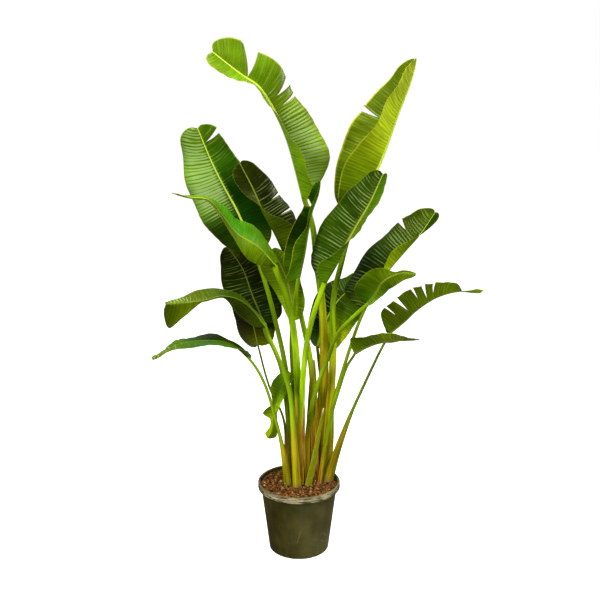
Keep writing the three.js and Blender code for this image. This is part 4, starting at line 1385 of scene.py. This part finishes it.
def turned_round(profile, sides):
    """Points of a profile turned round the upright axis, ring by ring."""
    angles = angles_round(sides)
    radii, heights = np.array(profile).T[:, :, None]
    ring = [radii * np.cos(angles), radii * np.sin(angles), np.repeat(heights, sides, 1)]
    return np.stack(ring, -1).reshape(-1, 3)


def drain_plugs():
    """One mesh of all the plugs that the drain holes are cut with."""
    points, faces = [], []
    for number, turn in enumerate(angles_round(DRAIN_HOLES)):
        plug = turned_round([(DRAIN_RADIUS, height) for height in DRAIN_PLUG], DRAIN_SIDES)
        middle = [DRAIN_CIRCLE * math.cos(turn), DRAIN_CIRCLE * math.sin(turn), 0]
        points.extend(plug + middle)
        first = len(plug) * number
        faces.extend([[first + k for k in face] for face in tube_faces(2, DRAIN_SIDES)])
    return bpy.data.objects.new("drain_holes", new_mesh("drain_holes", points, faces))


def cut_away(piece, plugs):
    """Cuts the plugs out of a piece's mesh for good."""
    bpy.context.scene.collection.objects.link(plugs)
    cut = piece.modifiers.new("holes", "BOOLEAN")
    cut.operation = "DIFFERENCE"
    cut.solver = "EXACT"
    cut.object = plugs
    graph = bpy.context.evaluated_depsgraph_get()
    mesh = bpy.data.meshes.new_from_object(piece.evaluated_get(graph))
    piece.modifiers.clear()
    piece.data = mesh
    bpy.data.objects.remove(plugs)


def pot_piece(material):
    profile = pot_profile()
    points = turned_round(profile, POT_SIDES)
    faces = tube_faces(len(profile), POT_SIDES)
    front = np.tile(0.5 - 0.5 * np.sin(angles_round(POT_SIDES)), len(profile))
    attributes = {"height": points[:, 2] * MM, "front": front}
    piece = mesh_piece("pot_shell", points, faces, [material], attributes)
    cut_away(piece, drain_plugs())
    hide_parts("pot")


# ---- Soil and bark ----

SOIL_LEVEL = 257.0
SOIL_BUMP = 3.5
SOIL_GAP = 0.4
SOIL_RADIUS = POT_RIM - SOIL_GAP
SOIL_RINGS = 60
SOIL_SIDES = 180
CRUMB_HEIGHT = 1.1
CHIPS = 2600
CHIP_SIZE = (3.0, 11.0)
CHIP_TILT = 0.4
CHIP_LIFT = 0.18  # how far a chip's middle lies above the soil, as a share of its length
CHIP_MARGIN = 5.0  # between the last chips and the pot
CHIP_FACES = ((0, 2, 3, 1), (4, 5, 7, 6), (0, 1, 5, 4), (2, 6, 7, 3), (0, 4, 6, 2), (1, 3, 7, 5))


def soil_height(x, y):
    lumps = np.sin(x / 19 + 1) * np.cos(y / 23) + 0.6 * np.sin((x + 2 * y) / 31)
    return SOIL_LEVEL + SOIL_BUMP * lumps


def soil_piece(material):
    """The soil's surface with crumbs, over a plain block that reaches the pot's floor."""
    block = [
        (POT_BASE - POT_WALL, POT_FLOOR),
        (POT_NECK - POT_WALL, NECK_HEIGHT),
        (POT_RIM, NECK_HEIGHT + POT_RIM_STEP),
    ]
    profile = [(radius - SOIL_GAP, height + SOIL_GAP) for radius, height in block]
    profile += [(SOIL_RADIUS * share, 0) for share in np.linspace(1, 0.004, SOIL_RINGS)]
    points = turned_round(profile, SOIL_SIDES)
    top = points[len(block) * SOIL_SIDES :]
    x, y = top[:, 0], top[:, 1]
    crumbs = np.sin(x * 0.71 + 2 * np.sin(y * 0.43)) * np.sin(y * 0.63 + 2 * np.cos(x * 0.37))
    top[:, 2] = soil_height(x, y) + CRUMB_HEIGHT * crumbs
    faces = tube_faces(len(profile), SOIL_SIDES)
    piece = mesh_piece("soil_bed", points, faces, [material])
    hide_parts("soil")


def chip_points(length):
    """The eight corners of one rough chip, longer than wide and thinner still."""
    size = length, length * RANDOM.uniform(0.4, 0.8), length * RANDOM.uniform(0.2, 0.45)
    corners = []
    for i in range(8):
        signs = [1 if i & bit else -1 for bit in (1, 2, 4)]
        rough = [RANDOM.uniform(0.65, 1.1) for _ in range(3)]
        corners.append([s * r * d for s, r, d in zip(signs, rough, size)])
    return np.array(corners)


def tumbled(points, turn, tilt, roll):
    """Points tilted about x, then rolled about y, then turned about z."""
    (ct, cr, cz), (st, sr, sz) = np.cos([tilt, roll, turn]), np.sin([tilt, roll, turn])
    tilting = np.array([[1, 0, 0], [0, ct, -st], [0, st, ct]])
    rolling = np.array([[cr, 0, sr], [0, 1, 0], [-sr, 0, cr]])
    turning = np.array([[cz, -sz, 0], [sz, cz, 0], [0, 0, 1]])
    return points @ (turning @ rolling @ tilting).T


def chips_piece(material):
    points, faces, shades = [], [], []
    for _ in range(CHIPS):
        radius = (SOIL_RADIUS - CHIP_MARGIN) * math.sqrt(RANDOM.random())
        angle = RANDOM.uniform(0, 2 * math.pi)
        x, y = radius * math.cos(angle), radius * math.sin(angle)
        size = CHIP_SIZE[0] + (CHIP_SIZE[1] - CHIP_SIZE[0]) * RANDOM.random() ** 2.2
        chip = chip_points(size / 2)
        turn = RANDOM.uniform(0, 6.28)
        chip = tumbled(chip, turn, RANDOM.gauss(0, CHIP_TILT), RANDOM.gauss(0, CHIP_TILT))
        points.append(chip + [x, y, soil_height(x, y) + size * CHIP_LIFT])
        faces.extend([[8 * len(shades) + k for k in face] for face in CHIP_FACES])
        shades.append(RANDOM.random())
    points = np.concatenate(points)
    attributes = {"shade": np.repeat(shades, 8)}
    piece = mesh_piece("bark_chips", points, faces, [material], attributes)
    piece.data.polygons.foreach_set("use_smooth", np.zeros(len(faces), bool))


# ---- Camera, floor and light ----

FLOOR_REACH = 30.0
BACKDROP = 1.0
AMBIENT = 0.25
PLANT_MIDDLE = (0.0, 0.0, 1.1)
WHITE = (1, 1, 1, 1)

# Each lamp's place, the size of its disc and its power.

LAMPS = {
    "top": ((-0.3, -0.6, 5.0), 4.0, 330),
    "key": ((-2.2, -3.2, 3.0), 1.6, 130),
    "rim": ((2.6, 1.0, 2.6), 1.0, 50),
    "fill": ((2.6, -3.0, 1.4), 1.6, 40),
}


def add_camera():
    data = bpy.data.cameras.new("camera")
    data.lens = CAMERA_LENS
    data.sensor_width = FILM_WIDTH
    camera = bpy.data.objects.new("camera", data)
    camera.location = CAMERA_PLACE
    camera.rotation_euler = (math.radians(90 - CAMERA_PITCH), 0, 0)
    bpy.context.scene.collection.objects.link(camera)
    bpy.context.scene.camera = camera


def add_floor():
    """A plain pale floor. It glows a little, so that it stays white out to the horizon."""
    mesh = bpy.data.meshes.new("floor")
    signs = ((-1, -1), (1, -1), (1, 1), (-1, 1))
    corners = [(x * FLOOR_REACH, y * FLOOR_REACH, 0) for x, y in signs]
    mesh.from_pydata(corners, [], [(0, 1, 2, 3)])
    finish = Finish(
        "floor",
        Base_Color=(0.8, 0.8, 0.8, 1),
        Roughness=1.0,
        Specular_IOR_Level=0.0,
        Emission_Color=WHITE,
        Emission_Strength=0.85,
    )
    mesh.materials.append(finish.material)
    floor = bpy.data.objects.new("floor", mesh)
    floor.visible_diffuse = False
    floor.visible_glossy = False
    bpy.context.scene.collection.objects.link(floor)


def add_lamp(name, place, size, power):
    data = bpy.data.lights.new(name, "AREA")
    data.shape = "DISK"
    data.size = size
    data.energy = power
    lamp = bpy.data.objects.new(name, data)
    lamp.location = place
    direction = Vector(PLANT_MIDDLE) - Vector(place)
    lamp.rotation_euler = direction.to_track_quat("-Z", "Y").to_euler()
    bpy.context.scene.collection.objects.link(lamp)


def add_studio():
    """A white backdrop, and light that is softer than it, so that the leaves keep their depth."""
    world = bpy.data.worlds.new("studio")
    world.use_nodes = True
    tree = world.node_tree
    backdrop = tree.nodes["Background"]
    ambient = tree.nodes.new("ShaderNodeBackground")
    for glow, strength in ((backdrop, BACKDROP), (ambient, AMBIENT)):
        glow.inputs["Color"].default_value = WHITE
        glow.inputs["Strength"].default_value = strength
    rays = tree.nodes.new("ShaderNodeLightPath")
    both = tree.nodes.new("ShaderNodeMixShader")
    tree.links.new(rays.outputs["Is Camera Ray"], both.inputs[0])
    tree.links.new(ambient.outputs[0], both.inputs[1])
    tree.links.new(backdrop.outputs[0], both.inputs[2])
    tree.links.new(both.outputs[0], tree.nodes["World Output"].inputs["Surface"])
    bpy.context.scene.world = world
    bpy.context.scene.view_settings.view_transform = "Standard"
    for name, lamp in LAMPS.items():
        add_lamp(name, *lamp)


# ---- The plant ----


def build():
    add_camera()
    add_studio()
    add_floor()
    blade_finishes = [upper_leaf_finish(), under_leaf_finish(), rib_finish()]
    stalk_skin = stalk_finish()
    for number, (name, leaf) in enumerate(LEAVES.items()):
        seed = 1.0 + number
        blade_piece(name, leaf, LOOKS[name], seed, blade_finishes)
        stalk_piece(name, leaf, LOOKS[name], seed, stalk_skin)
    old_skin = old_sheath_finish()
    for name, sheath in OLD_SHEATHS.items():
        old_sheath_piece(name, sheath, old_skin)
    pot_piece(pot_finish())
    soil_piece(soil_finish())
    chips_piece(chip_finish())


build()
